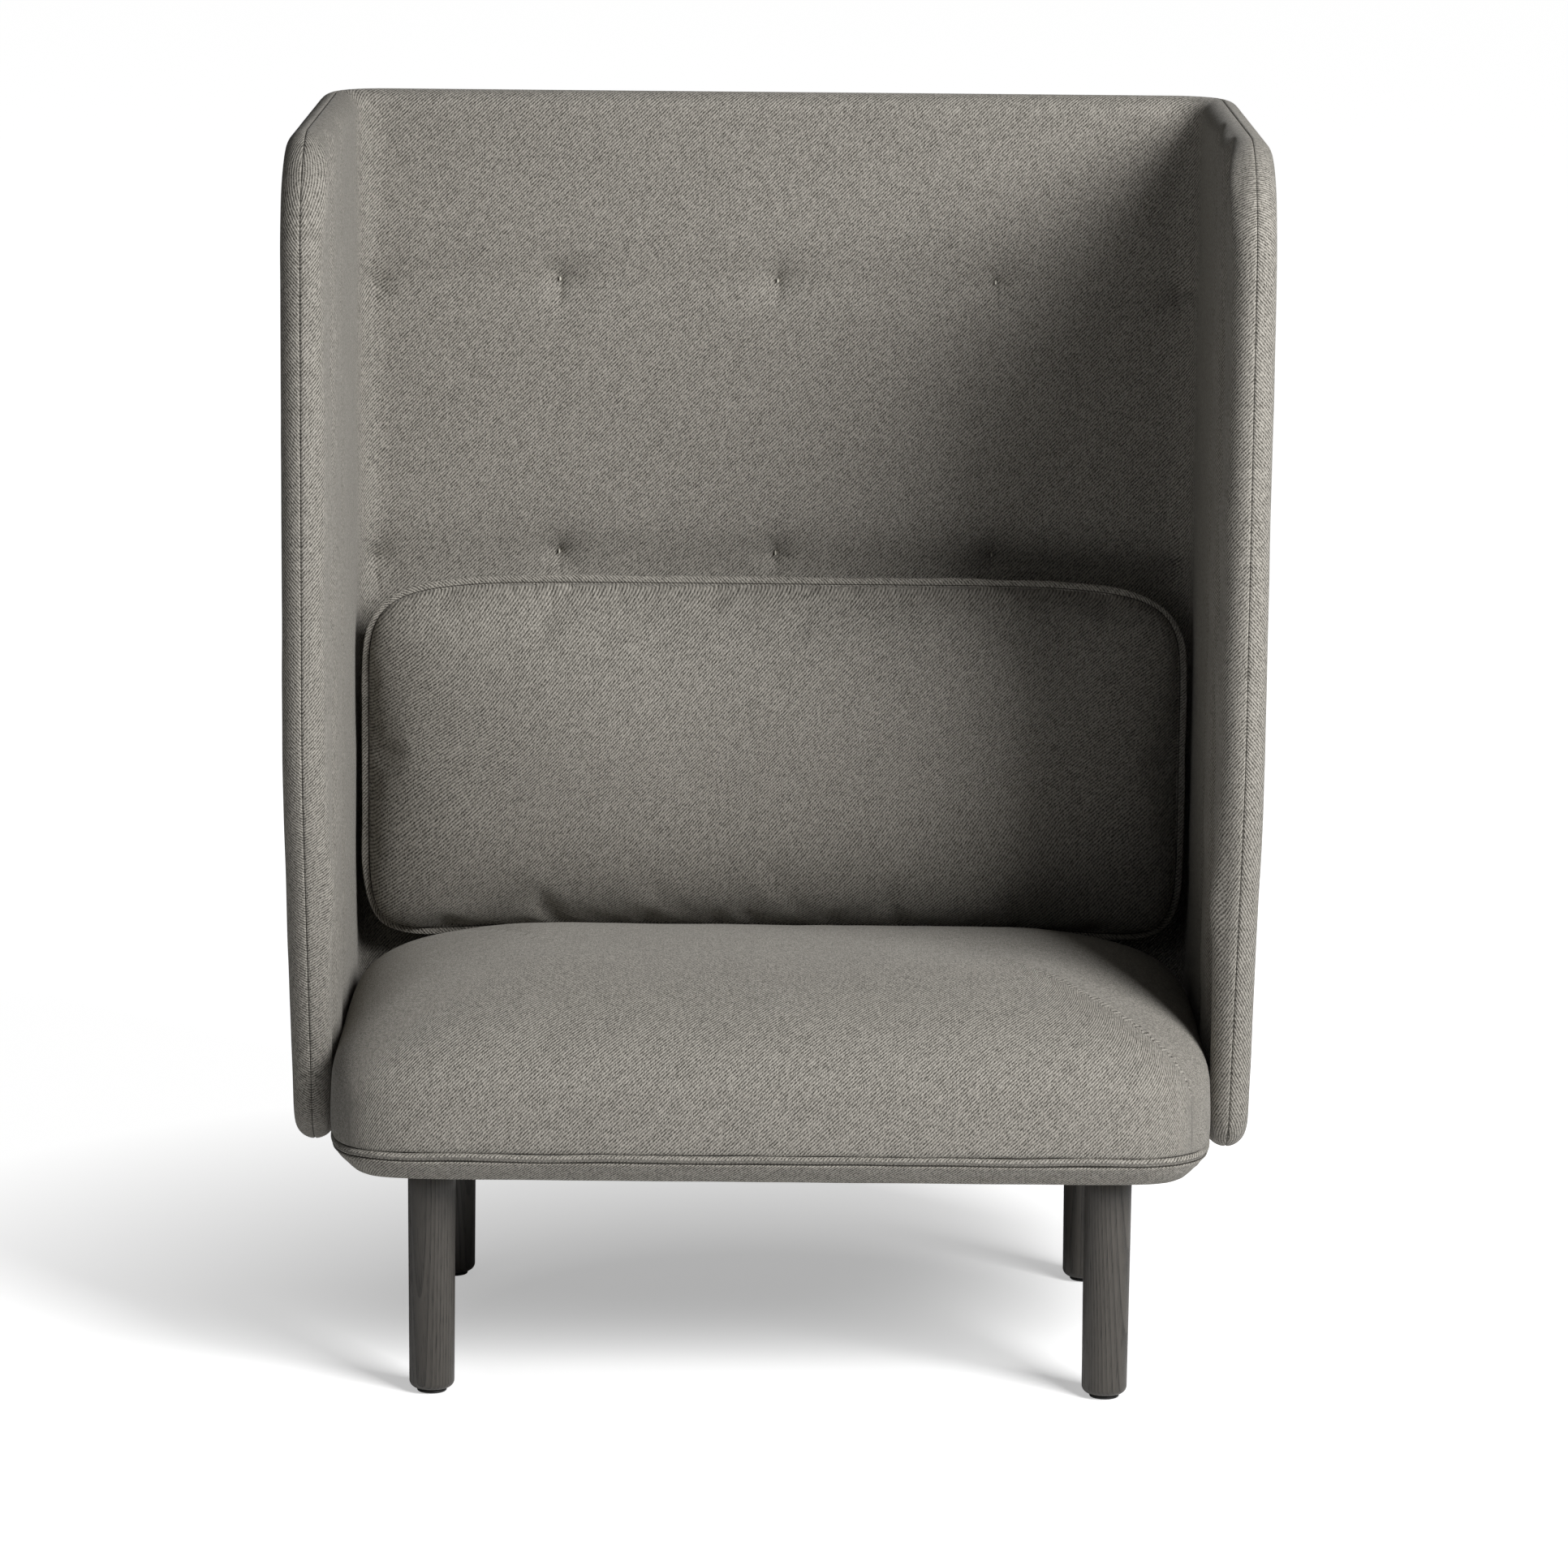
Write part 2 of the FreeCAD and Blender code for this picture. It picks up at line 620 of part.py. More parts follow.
def corner_block(side, end):
    """Block in a corner of the frame, with its free corner cut off and a bore for the leg's bolt."""
    leg_x, leg_y = (abs(size(words)) for words in leg_place(side, end))
    rail_x = size(RAIL_IN_X)
    rail_y = abs(size(RAIL_IN_REAR if end > 0 else RAIL_IN_FRONT))
    in_x = leg_x - size("block_side_reach")
    in_y = leg_y - size("block_rear_reach")
    cut = size("block_chamfer")
    plan = [(rail_x, rail_y), (rail_x, in_y), (in_x + cut, in_y), (in_x, in_y + cut), (in_x, rail_y)]
    low = size("frame_height")
    corners = [FreeCAD.Vector(side * px, end * py, low) for px, py in plan]
    timber = flat_face(corners).extrude(FreeCAD.Vector(0, 0, size("block_depth")))
    bore = upright_peg(size("leg_bolt_diameter / 2 + leg_bolt_clearance"), side * leg_x, end * leg_y,
                       low, size(BLOCK_TOP))
    return timber.cut(bore)


corner_blocks = coded("corner_blocks", [corner_block(side, end) for _, side in SIDES for _, end in ENDS])


# Woven webbing

def webbing_strap(length, crossings, over_first, low):
    """Strap along x that passes over and under the straps it crosses, as a solid."""
    thick = size("webbing_thickness")
    half = size("webbing_width") / 2
    ease = size("webbing_ease")
    profile = [(-length / 2, 0.0)]
    for i, place in enumerate(crossings):
        lift = thick if (i % 2 == 0) == over_first else 0.0
        profile.append((place - half - ease, lift))
        profile.append((place + half + ease, lift))
    profile.append((length / 2, 0.0))
    bottom = [FreeCAD.Vector(px, -half, low + lift) for px, lift in profile]
    top = [FreeCAD.Vector(px, -half, low + lift + thick) for px, lift in reversed(profile)]
    return flat_face(bottom + top).extrude(FreeCAD.Vector(0, 2 * half, 0))


def spread(count, low, high):
    """Evenly spaced places with half a step at each end."""
    step = (high - low) / count
    return [low + step * (i + 0.5) for i in range(count)]


web_top = size(RAIL_TOP)
frame_mid_y = size(f"({FRAME_FRONT} + {FRAME_REAR}) / 2")
strap_margin = size("2 * webbing_end_margin")
frame_long = size(f"{FRAME_REAR} - {FRAME_FRONT}") - strap_margin
frame_wide = size(f"2 * {FRAME_HALF_WIDTH}") - strap_margin
clear_x = size(RAIL_IN_X)
clear_y = size(f"({RAIL_IN_REAR} - {RAIL_IN_FRONT}) / 2")
across_places = spread(STRAP_ROWS, -clear_y, clear_y)
along_places = spread(STRAP_COLUMNS, -clear_x, clear_x)
across_straps = []
for i, place in enumerate(across_places):
    strap = webbing_strap(frame_wide, along_places, i % 2 == 0, web_top)
    strap.translate(FreeCAD.Vector(0, frame_mid_y + place, 0))
    across_straps.append(strap)
webbing_across = coded("webbing_across", across_straps)
along_straps = []
for i, place in enumerate(along_places):
    strap = webbing_strap(frame_long, across_places, i % 2 == 1, web_top)
    strap.rotate(FreeCAD.Vector(), FreeCAD.Vector(0, 0, 1), 90)
    strap.translate(FreeCAD.Vector(place, frame_mid_y, 0))
    along_straps.append(strap)
webbing_along = coded("webbing_along", along_straps)


# Legs, their fixings and the cloth under the seat

def at_legs(shape):
    """Copies of a shape made on the z axis, one under each corner."""
    copies = []
    for _, side in SIDES:
        for _, end in ENDS:
            copy = shape.copy()
            place_x, place_y = (size(words) for words in leg_place(side, end))
            copy.translate(FreeCAD.Vector(place_x, place_y, 0))
            copies.append(copy)
    return copies


def square_plate(width, low, high):
    """Square plate centred on the z axis."""
    corner = FreeCAD.Vector(-width / 2, -width / 2, low)
    return Part.makeBox(width, width, high - low, corner)


LEG_BOLT_RADIUS = size("leg_bolt_diameter / 2")
LEG_BOLT_FOOT = size(f"{LEG_TOP} - leg_bolt_depth")
PLATE_FOOT = size(LEG_TOP)
PLATE_TOP = size("frame_height")
HEAD_FOOT = FreeCAD.Vector(0, 0, size(BLOCK_TOP))
plate_bore = upright_peg(size("leg_bolt_diameter / 2 + leg_bolt_clearance"), 0, 0, PLATE_FOOT, PLATE_TOP)
leg_plate = square_plate(size("leg_plate_width"), PLATE_FOOT, PLATE_TOP).cut(plate_bore)
leg_plates = coded("leg_plates", at_legs(leg_plate))

head_ring = polygon_ring(HEAD_FOOT, FreeCAD.Vector(1, 0, 0), FreeCAD.Vector(0, 1, 0),
                         size("leg_bolt_across_flats") / math.sqrt(3), 6)
bolt_head = flat_face(head_ring).extrude(FreeCAD.Vector(0, 0, size("leg_bolt_head_height")))
leg_bolt_shank = upright_peg(LEG_BOLT_RADIUS, 0, 0, LEG_BOLT_FOOT, size(BLOCK_TOP))
leg_bolt = bolt_head.fuse(leg_bolt_shank)
leg_bolts = coded("leg_bolts", at_legs(leg_bolt))

cloth_sheet = frame_slab("cloth_sheet", BAND_FOOT, "frame_height")
plate_windows = coded("plate_windows", at_legs(square_plate(
    size("leg_plate_width + 2 * cloth_gap"), size(BAND_FOOT), size("frame_height"))))
bottom_cloth = boolean("Cut", "bottom_cloth", cloth_sheet, plate_windows)


def leg(name, at_x, at_y):
    """Turned timber leg, bored for its bolt above and for its glide below."""
    blank_sizes = {"Radius": "leg_diameter / 2", "Height": f"{LEG_TOP} - {LEG_FOOT}"}
    blank = primitive("Cylinder", name + "_blank", blank_sizes, (at_x, at_y, LEG_FOOT))
    place_x = size(at_x)
    place_y = size(at_y)
    low = size(LEG_FOOT)
    glide_bore = upright_peg(size("glide_stem_diameter / 2 + glide_stem_clearance"), place_x, place_y,
                             low, low + size("glide_bore_depth"))
    bolt_bore = upright_peg(LEG_BOLT_RADIUS, place_x, place_y, LEG_BOLT_FOOT, PLATE_FOOT)
    return boolean("Cut", name, blank, coded(name + "_bores", [glide_bore, bolt_bore]))


def glide(corner, at_x, at_y):
    """Levelling glide: a flat foot and the stem that runs in the leg's bore."""
    foot = primitive("Prism", f"glide_foot_{corner}",
                     {"Circumradius": "glide_diameter / 2", "Height": "glide_height"}, (at_x, at_y, "0"))
    foot.Polygon = GLIDE_SIDES
    stem = primitive("Prism", f"glide_stem_{corner}",
                     {"Circumradius": "glide_stem_diameter / 2", "Height": "glide_stem_length"},
                     (at_x, at_y, "glide_height"))
    stem.Polygon = PEG_SIDES
    return [foot, stem]


legs = []
for end_name, end in ENDS:
    for side_name, side in SIDES:
        corner = f"{end_name}_{side_name}"
        leg_x, leg_y = leg_place(side, end)
        legs.append(leg(f"leg_{corner}", leg_x, leg_y))
        legs.extend(glide(corner, leg_x, leg_y))


# Loose lumbar cushion, which stands on its flange on the seat

FLANGE_FRONT_INSET = size(f"{SEAT_REAR} - {CUSHION_Y} + flange_thickness / 2")
CUSHION_FOOT = seat_height_at(FLANGE_FRONT_INSET) + size("cushion_gap + flange_width")
CUSHION_TOP = size("cushion_top_height")
CUSHION_MIDDLE = FreeCAD.Vector(0, size(CUSHION_Y), (CUSHION_FOOT + CUSHION_TOP) / 2)


def cushion_loop(draw, lift):
    """Points round the upright cushion, at a lift from its middle plane and drawn in all round."""
    half_height = (CUSHION_TOP - CUSHION_FOOT) / 2 - draw
    flat_points = rounded_loop(size(CUSHION_HALF_WIDTH) - draw, -half_height, half_height,
                               size("cushion_corner_radius") - draw, lift)
    return [CUSHION_MIDDLE + FreeCAD.Vector(point.x, -point.z, point.y) for point in flat_points]


def cushion_form(name, inset):
    """Cushion with an elliptic roll from its seam to its faces, inset from the finished cushion."""
    reach = size("cushion_edge_reach")
    half = size("cushion_thickness / 2")
    loops = []
    for step in range(-CUSHION_ROLL_STEPS, CUSHION_ROLL_STEPS + 1):
        angle = math.pi / 2 * step / CUSHION_ROLL_STEPS
        normal = FreeCAD.Vector(math.cos(angle) / reach, math.sin(angle) / half, 0).normalize()
        draw = reach * (1 - math.cos(angle)) + inset * normal.x
        loops.append(cushion_loop(draw, half * math.sin(angle) - inset * normal.y))
    return coded(name, [ring_solid(loops)])


cushion_finish = cushion_form("cushion_finish", 0)
cushion_fill = cushion_form("cushion_fill", size("cover_thickness"))
cushion_cover = boolean("Cut", "cushion_cover", cushion_finish, cushion_fill)
flange_half = size("flange_thickness / 2")
flange_sheet = coded("flange_sheet", [
    ring_solid([cushion_loop(-size("flange_width"), lift) for lift in (-flange_half, flange_half)])
])
cushion_flange = boolean("Cut", "cushion_flange", flange_sheet, cushion_finish)

NODES = [
    back_plywood, back_pad_inner, back_pad_outer, back_cover_inner, back_cover_outer, tuft_ties, tuft_toggles,
    seat_ledger_left, seat_ledger_right, seat_ledger_rear,
    rail_front, rail_rear, rail_left, rail_right, rail_middle, corner_blocks,
    webbing_across, webbing_along, bottom_cloth,
    seat_pad, seat_cover, seat_welt, seat_band,
    leg_plates, leg_bolts, *legs,
    cushion_fill, cushion_cover, cushion_flange,
]


def main():
    """Check the whole document, then write one file per piece."""
    doc.recompute()
    for item in doc.Objects:
        if "Invalid" in item.State or "Error" in item.State:
            raise RuntimeError(f"{item.Label} failed to recompute: {item.State}")
    for node in NODES:
        if node.Shape.isNull() or not node.Shape.isValid() or not node.Shape.Solids:
            raise RuntimeError(f"{node.Label} has no valid solid")
    os.makedirs("parts", exist_ok=True)
    for node in NODES:
        node.Shape.exportStep(f"parts/{node.Label}.step")
    print(f"{len(NODES)} pieces written")


main()
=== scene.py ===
"""Dressing of an acoustic high back lounge chair: upholstery, timber, fixings, light and camera.

Lengths are in metres, +Z is up, the chair faces -Y, and +X is to the right as its front is seen.
"""

import logging
import math
from collections.abc import Sequence
from dataclasses import dataclass, field
from enum import Enum

import bmesh
import bpy
import numpy as np
from mathutils import Matrix, Vector, noise


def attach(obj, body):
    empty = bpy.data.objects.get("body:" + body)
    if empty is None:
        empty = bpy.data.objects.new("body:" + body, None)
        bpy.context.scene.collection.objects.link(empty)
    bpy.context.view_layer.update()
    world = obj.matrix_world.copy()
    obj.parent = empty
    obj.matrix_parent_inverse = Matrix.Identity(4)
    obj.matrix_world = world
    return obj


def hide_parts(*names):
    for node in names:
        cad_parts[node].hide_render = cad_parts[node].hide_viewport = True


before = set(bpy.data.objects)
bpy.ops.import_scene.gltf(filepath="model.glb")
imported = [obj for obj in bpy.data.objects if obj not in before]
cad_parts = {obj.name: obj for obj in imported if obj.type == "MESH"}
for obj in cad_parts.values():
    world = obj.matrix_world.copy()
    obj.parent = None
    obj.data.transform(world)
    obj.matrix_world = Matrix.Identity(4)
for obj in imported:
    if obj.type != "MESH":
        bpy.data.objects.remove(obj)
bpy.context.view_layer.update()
LOG = logging.getLogger("lounge_chair")


class Corner(Enum):
    """The four corners of the seat frame, as signs along x and y."""

    FRONT_LEFT = (-1, -1)
    FRONT_RIGHT = (1, -1)
    REAR_LEFT = (-1, 1)
    REAR_RIGHT = (1, 1)

    @property
    def tag(self) -> str:
        """Corner's words as the nodes use them."""
        return self.name.lower()


# Node trees


class Graph:
    """Short calls for one material's node tree."""

    def __init__(self, name: str) -> None:
        """Start a material with one shader.

        Args:
            name: Material's name.
        """
        self.material = bpy.data.materials.new(name)
        self.material.use_nodes = True
        self.nodes = self.material.node_tree.nodes
        self.shader = self.nodes["Principled BSDF"]

    def put(self, socket: bpy.types.NodeSocket, value: object) -> None:
        """Link a socket to an output, or set its value.

        Args:
            socket: Input socket.
            value: Output socket or plain value.
        """
        if isinstance(value, bpy.types.NodeSocket):
            self.material.node_tree.links.new(value, socket)
        elif value is not None:
            socket.default_value = value

    def add(self, kind: str, *inputs: object, out: int = 0, **settings: object) -> bpy.types.NodeSocket:
        """Add a node.

        Args:
            kind: Node type without its ShaderNode prefix.
            inputs: Values or outputs for its inputs in order.
            out: Which output to give back.
            settings: Properties of the node.

        Returns:
            One output socket.
        """
        node = self.nodes.new("ShaderNode" + kind)
        for key, value in settings.items():
            setattr(node, key, value)
        for socket, value in zip(node.inputs, inputs):
            self.put(socket, value)
        return node.outputs[out]

    def calc(self, operation: str, first: object, second: object = None,
             third: object = None) -> bpy.types.NodeSocket:
        """Add a Math node and give its result."""
        return self.add("Math", first, second, third, operation=operation)

    def dot(self, vector: object, way: tuple[float, float, float]) -> bpy.types.NodeSocket:
        """Measure a vector along a direction.

        Args:
            vector: Vector output.
            way: Direction.

        Returns:
            The length's socket.
        """
        node = self.nodes.new("ShaderNodeVectorMath")
        node.operation = "DOT_PRODUCT"
        self.put(node.inputs[0], vector)
        self.put(node.inputs[1], way)
        return node.outputs["Value"]

    def stretch(self, vector: object, scale: tuple[float, float, float],
                turn: tuple[float, float, float] = (0.0, 0.0, 0.0),
                shift: tuple[float, float, float] = (0.0, 0.0, 0.0)) -> bpy.types.NodeSocket:
        """Shift, turn and scale a vector."""
        return self.add("Mapping", vector, shift, turn, scale)

    def noise(self, vector: object, scale: float, detail: float = 3.0, rough: float = 0.5,
              distortion: float = 0.0) -> bpy.types.NodeSocket:
        """Add a noise texture.

        Args:
            vector: Place on the piece or on its cloth.
            scale: Waves per metre.
            detail: Octaves.
            rough: Weight of the finer octaves.
            distortion: How far the waves are bent.

        Returns:
            Its value's socket, about 0 to 1.
        """
        node = self.nodes.new("ShaderNodeTexNoise")
        self.put(node.inputs["Vector"], vector)
        node.inputs["Scale"].default_value = scale
        node.inputs["Detail"].default_value = detail
        node.inputs["Roughness"].default_value = rough
        node.inputs["Distortion"].default_value = distortion
        return node.outputs["Fac"]

    def blend(self, factor: object, first: object, second: object, mode: str = "MIX") -> bpy.types.NodeSocket:
        """Mix two colours.

        Args:
            factor: Share of the second colour.
            first: First colour.
            second: Second colour.
            mode: Way of mixing.

        Returns:
            The mixed colour's socket.
        """
        node = self.nodes.new("ShaderNodeMix")
        node.data_type = "RGBA"
        node.blend_type = mode
        self.put(node.inputs["Factor"], factor)
        self.put(node.inputs["A"], first)
        self.put(node.inputs["B"], second)
        return node.outputs["Result"]

    def spread(self, value: object, low: float, high: float, to_low: float = 0.0,
               to_high: float = 1.0) -> bpy.types.NodeSocket:
        """Map a range of values onto another, held at its ends."""
        return self.add("MapRange", value, low, high, to_low, to_high)

    def bump(self, height: object, distance: float, strength: float = 1.0) -> None:
        """Raise the surface by a height map.

        Args:
            height: Height's socket.
            distance: Height that a value of 1 stands for, in metres.
            strength: Share of the relief that is shown.
        """
        node = self.nodes.new("ShaderNodeBump")
        node.inputs["Strength"].default_value = strength
        node.inputs["Distance"].default_value = distance
        self.put(node.inputs["Height"], height)
        self.put(self.shader.inputs["Normal"], node.outputs["Normal"])

    def finish(self, colour: object, **plain: float) -> bpy.types.Material:
        """Set the shader's colour and its plain values.

        Args:
            colour: Colour output or value.
            plain: Shader inputs by name, with _ for spaces.

        Returns:
            The finished material.
        """
        self.put(self.shader.inputs["Base Color"], colour)
        for key, value in plain.items():
            self.put(self.shader.inputs[key.replace("_", " ")], value)
        return self.material


def rgb(red: float, green: float, blue: float) -> tuple[float, float, float, float]:
    """Opaque colour."""
    return (red, green, blue, 1.0)


# Finishes


@dataclass(frozen=True)
class MelangeTwill:
    """Warm grey wool twill whose yarns are spun from light and dark fibres."""

    name: str = "melange_twill"
    yarn: float = 0.00105
    dark: tuple[float, float, float] = (0.038, 0.035, 0.029)
    light: tuple[float, float, float] = (0.375, 0.354, 0.316)
    relief: float = 0.00065
    rib_share: float = 0.50
    fleck_share: float = 0.44
    fibre_share: float = 0.22
    slub_up_share: float = 0.24
    slub_over_share: float = 0.22
    cloud_share: float = 0.07
    slub_waves: tuple[float, float] = (900.0, 34.0)
    shade_range: tuple[float, float] = (0.42, 1.22)

    def make(self) -> bpy.types.Material:
        """Build the cloth from its weave: floats, ribs, slubs and blended fibre."""
        g = Graph(self.name)
        uv = g.add("UVMap")
        across = g.calc("DIVIDE", g.dot(uv, (1, 0, 0)), self.yarn)
        along = g.calc("DIVIDE", g.dot(uv, (0, 1, 0)), self.yarn)
        wander = g.calc("MULTIPLY", g.calc("SUBTRACT", g.noise(uv, 90.0, 2.0), 0.5), 1.6)
        diagonal = g.calc("ADD", g.calc("SUBTRACT", across, along), wander)
        rib = g.calc("SINE", g.calc("MULTIPLY", diagonal, math.pi / 2))
        rib = g.calc("MULTIPLY_ADD", rib, 0.5, 0.5)
        cell_x = g.calc("FLOOR", across)
        stagger = g.calc("MULTIPLY", cell_x, 0.5)
        cell_y = g.calc("FLOOR", g.calc("ADD", g.calc("MULTIPLY", along, 0.5), stagger))
        float_place = g.add("CombineXYZ", cell_x, cell_y, 0.0)
        fleck = g.add("TexWhiteNoise", float_place, noise_dimensions="2D")
        fibre = g.noise(uv, 620.0, 2.0, 0.7)
        close, long = self.slub_waves
        slub_up = g.noise(g.stretch(uv, (close, long, 1.0)), 1.0, 2.0)
        slub_over = g.noise(g.stretch(uv, (long, close, 1.0)), 1.0, 2.0)
        cloud = g.noise(uv, 9.0, 4.0, 0.6)
        mix = g.calc("MULTIPLY", rib, self.rib_share)
        for part, share in ((fleck, self.fleck_share), (fibre, self.fibre_share),
                            (slub_up, self.slub_up_share), (slub_over, self.slub_over_share),
                            (cloud, self.cloud_share)):
            mix = g.calc("MULTIPLY_ADD", part, share, mix)
        shade = g.spread(mix, *self.shade_range)
        colour = g.blend(shade, rgb(*self.dark), rgb(*self.light))
        height = g.calc("MULTIPLY_ADD", fleck, 0.18, g.calc("MULTIPLY", rib, 0.8))
        height = g.calc("MULTIPLY_ADD", slub_up, 0.25, height)
        g.bump(height, self.relief, 0.8)
        rough = g.spread(shade, 0.0, 1.0, 0.92, 0.8)
        return g.finish(colour, Roughness=rough, Sheen_Weight=0.16, Sheen_Roughness=0.45,
                        Sheen_Tint=rgb(0.9, 0.88, 0.84), Specular_IOR_Level=0.18)


@dataclass(frozen=True)
class SewnLineWithPaintedShade:
    """Lockstitched thread that lies in a seam, darker than the cloth beside it; the dark is partly the
    thread's own and partly painted shade in the seam's groove.
    """

    name: str = "seam_thread_painted_shade"
    stitch: float = 0.0035
    dark: tuple[float, float, float] = (0.022, 0.02, 0.017)
    light: tuple[float, float, float] = (0.13, 0.12, 0.105)

    def make(self) -> bpy.types.Material:
        """Build short twisted stitches along the seam."""
        g = Graph(self.name)
        uv = g.add("UVMap")
        run = g.calc("ADD", g.dot(uv, (1, 0, 0)), g.dot(uv, (0, 1, 0)))
        beat = g.calc("SINE", g.calc("MULTIPLY", run, 2 * math.pi / self.stitch))
        beat = g.calc("MULTIPLY_ADD", beat, 0.5, 0.5)
        twist = g.noise(uv, 900.0, 2.0)
        tone = g.blend(g.calc("MULTIPLY", beat, twist), rgb(*self.dark), rgb(*self.light))
        g.bump(beat, 0.0004)
        return g.finish(tone, Roughness=0.8, Specular_IOR_Level=0.2)


@dataclass(frozen=True)
class StainedAsh:
    """Charcoal stained ash with open grain and a satin lacquer."""

    name: str
    heart: tuple[float, float, float]
    lean: float = 0.03
    rings: float = 260.0
    early_wood: tuple[float, float, float] = (0.060, 0.054, 0.047)
    late_wood: tuple[float, float, float] = (0.020, 0.018, 0.016)
    worn: tuple[float, float, float] = (0.078, 0.071, 0.061)
    pore_stain: tuple[float, float, float] = (0.006, 0.0055, 0.005)

    def make(self) -> bpy.types.Material:
        """Build rings about the tree's heart, cut by the leg, with pores and worn streaks."""
        g = Graph(self.name)
        place = g.add("TexCoord", out=3)
        local = g.stretch(place, (1.0, 1.0, 1.0), (self.lean, self.lean * 0.6, 0.0), self.heart)
        wave = g.noise(g.stretch(place, (6.0, 6.0, 2.2)), 1.0, 2.0)
        flat = g.stretch(local, (1.0, 1.0, 0.0))
        radius = g.add("VectorMath", flat, operation="LENGTH", out=1)
        radius = g.calc("MULTIPLY_ADD", wave, 0.016, radius)
        ring = g.calc("FRACT", g.calc("MULTIPLY", radius, self.rings))
        early = g.calc("POWER", ring, 2.4)
        pores = g.noise(g.stretch(place, (1500.0, 1500.0, 42.0)), 1.0, 2.0, 0.6)
        pore = g.spread(pores, 0.53, 0.64)
        open_grain = g.calc("MULTIPLY", pore, g.spread(ring, 0.15, 0.9, 0.25, 1.0))
        streak = g.noise(g.stretch(place, (260.0, 260.0, 5.0)), 1.0, 3.0, 0.6)
        tone = g.blend(early, rgb(*self.early_wood), rgb(*self.late_wood))
        tone = g.blend(g.calc("MULTIPLY", streak, 0.55), tone, rgb(*self.worn))
        tone = g.blend(g.calc("MULTIPLY", open_grain, 0.75), tone, rgb(*self.pore_stain))
        height = g.calc("SUBTRACT", g.calc("MULTIPLY", early, 0.4), open_grain)
        g.bump(height, 0.00025, 0.7)
        rough = g.spread(open_grain, 0.0, 1.0, 0.36, 0.62)
        return g.finish(tone, Roughness=rough, Specular_IOR_Level=0.4, Coat_Weight=0.12, Coat_Roughness=0.35)


@dataclass(frozen=True)
class SawnTimber:
    """Planed but unlacquered timber, with its grain along one direction."""

    name: str
    grain: tuple[float, float, float]
    pale: tuple[float, float, float] = (0.62, 0.45, 0.28)
    dark: tuple[float, float, float] = (0.43, 0.29, 0.17)

    def make(self) -> bpy.types.Material:
        """Build long streaks and fine pores."""
        g = Graph(self.name)
        place = g.add("TexCoord", out=3)
        scale = tuple(5.0 if way else 75.0 for way in self.grain)
        streak = g.noise(g.stretch(place, scale), 1.0, 4.0, 0.6, 0.4)
        fine = g.noise(g.stretch(place, tuple(item * 9 for item in scale)), 1.0, 2.0)
        tone = g.blend(g.spread(streak, 0.3, 0.7), rgb(*self.dark), rgb(*self.pale))
        tone = g.blend(g.spread(fine, 0.55, 0.75, 0.0, 0.4), tone, rgb(*(part * 0.6 for part in self.dark)))
        g.bump(g.calc("ADD", streak, fine), 0.0003, 0.6)
        return g.finish(tone, Roughness=g.spread(fine, 0.3, 0.7, 0.62, 0.8), Specular_IOR_Level=0.3)


@dataclass(frozen=True)
class Speckled:
    """Matt material of two tones in fine specks, such as foam, cloth backing or moulded plastic."""

    name: str
    dark: tuple[float, float, float]
    light: tuple[float, float, float]
    grain: float
    roughness: float = 0.9
    relief: float = 0.0004
    metallic: float = 0.0

    def make(self) -> bpy.types.Material:
        """Build specks over slow clouds of tone."""
        g = Graph(self.name)
        place = g.add("TexCoord", out=3)
        speck = g.noise(place, self.grain, 3.0, 0.65)
        cloud = g.noise(place, 12.0, 3.0)
        shade = g.calc("MULTIPLY_ADD", cloud, 0.35, g.calc("MULTIPLY", speck, 0.65))
        tone = g.blend(g.spread(shade, 0.3, 0.7), rgb(*self.dark), rgb(*self.light))
        g.bump(speck, self.relief, 0.7)
        rough = g.spread(speck, 0.3, 0.7, self.roughness - 0.08, min(1.0, self.roughness + 0.06))
        return g.finish(tone, Roughness=rough, Metallic=self.metallic, Specular_IOR_Level=0.35)


@dataclass(frozen=True)
class WovenStrap:
    """Elastic webbing or flat tape: fine ribs across, with paler lines along."""

    name: str
    way: tuple[float, float, float]
    dark: tuple[float, float, float] = (0.035, 0.033, 0.03)
    light: tuple[float, float, float] = (0.12, 0.115, 0.105)
    rib: float = 0.0022

    def make(self) -> bpy.types.Material:
        """Build the ribs and lines."""
        g = Graph(self.name)
        place = g.add("TexCoord", out=3)
        side = (self.way[1], self.way[0], 0.0)
        ribs = g.calc("SINE", g.calc("MULTIPLY", g.dot(place, self.way), 2 * math.pi / self.rib))
        lines = g.calc("SINE", g.calc("MULTIPLY", g.dot(place, side), math.pi / self.rib))
        weave = g.calc("MULTIPLY_ADD", lines, 0.22, g.calc("MULTIPLY_ADD", ribs, 0.28, 0.5))
        shade = g.calc("MULTIPLY", weave, g.spread(g.noise(place, 400.0), 0.3, 0.7, 0.7, 1.1))
        g.bump(weave, 0.0004)
        return g.finish(g.blend(shade, rgb(*self.dark), rgb(*self.light)), Roughness=0.85,
                        Specular_IOR_Level=0.25)


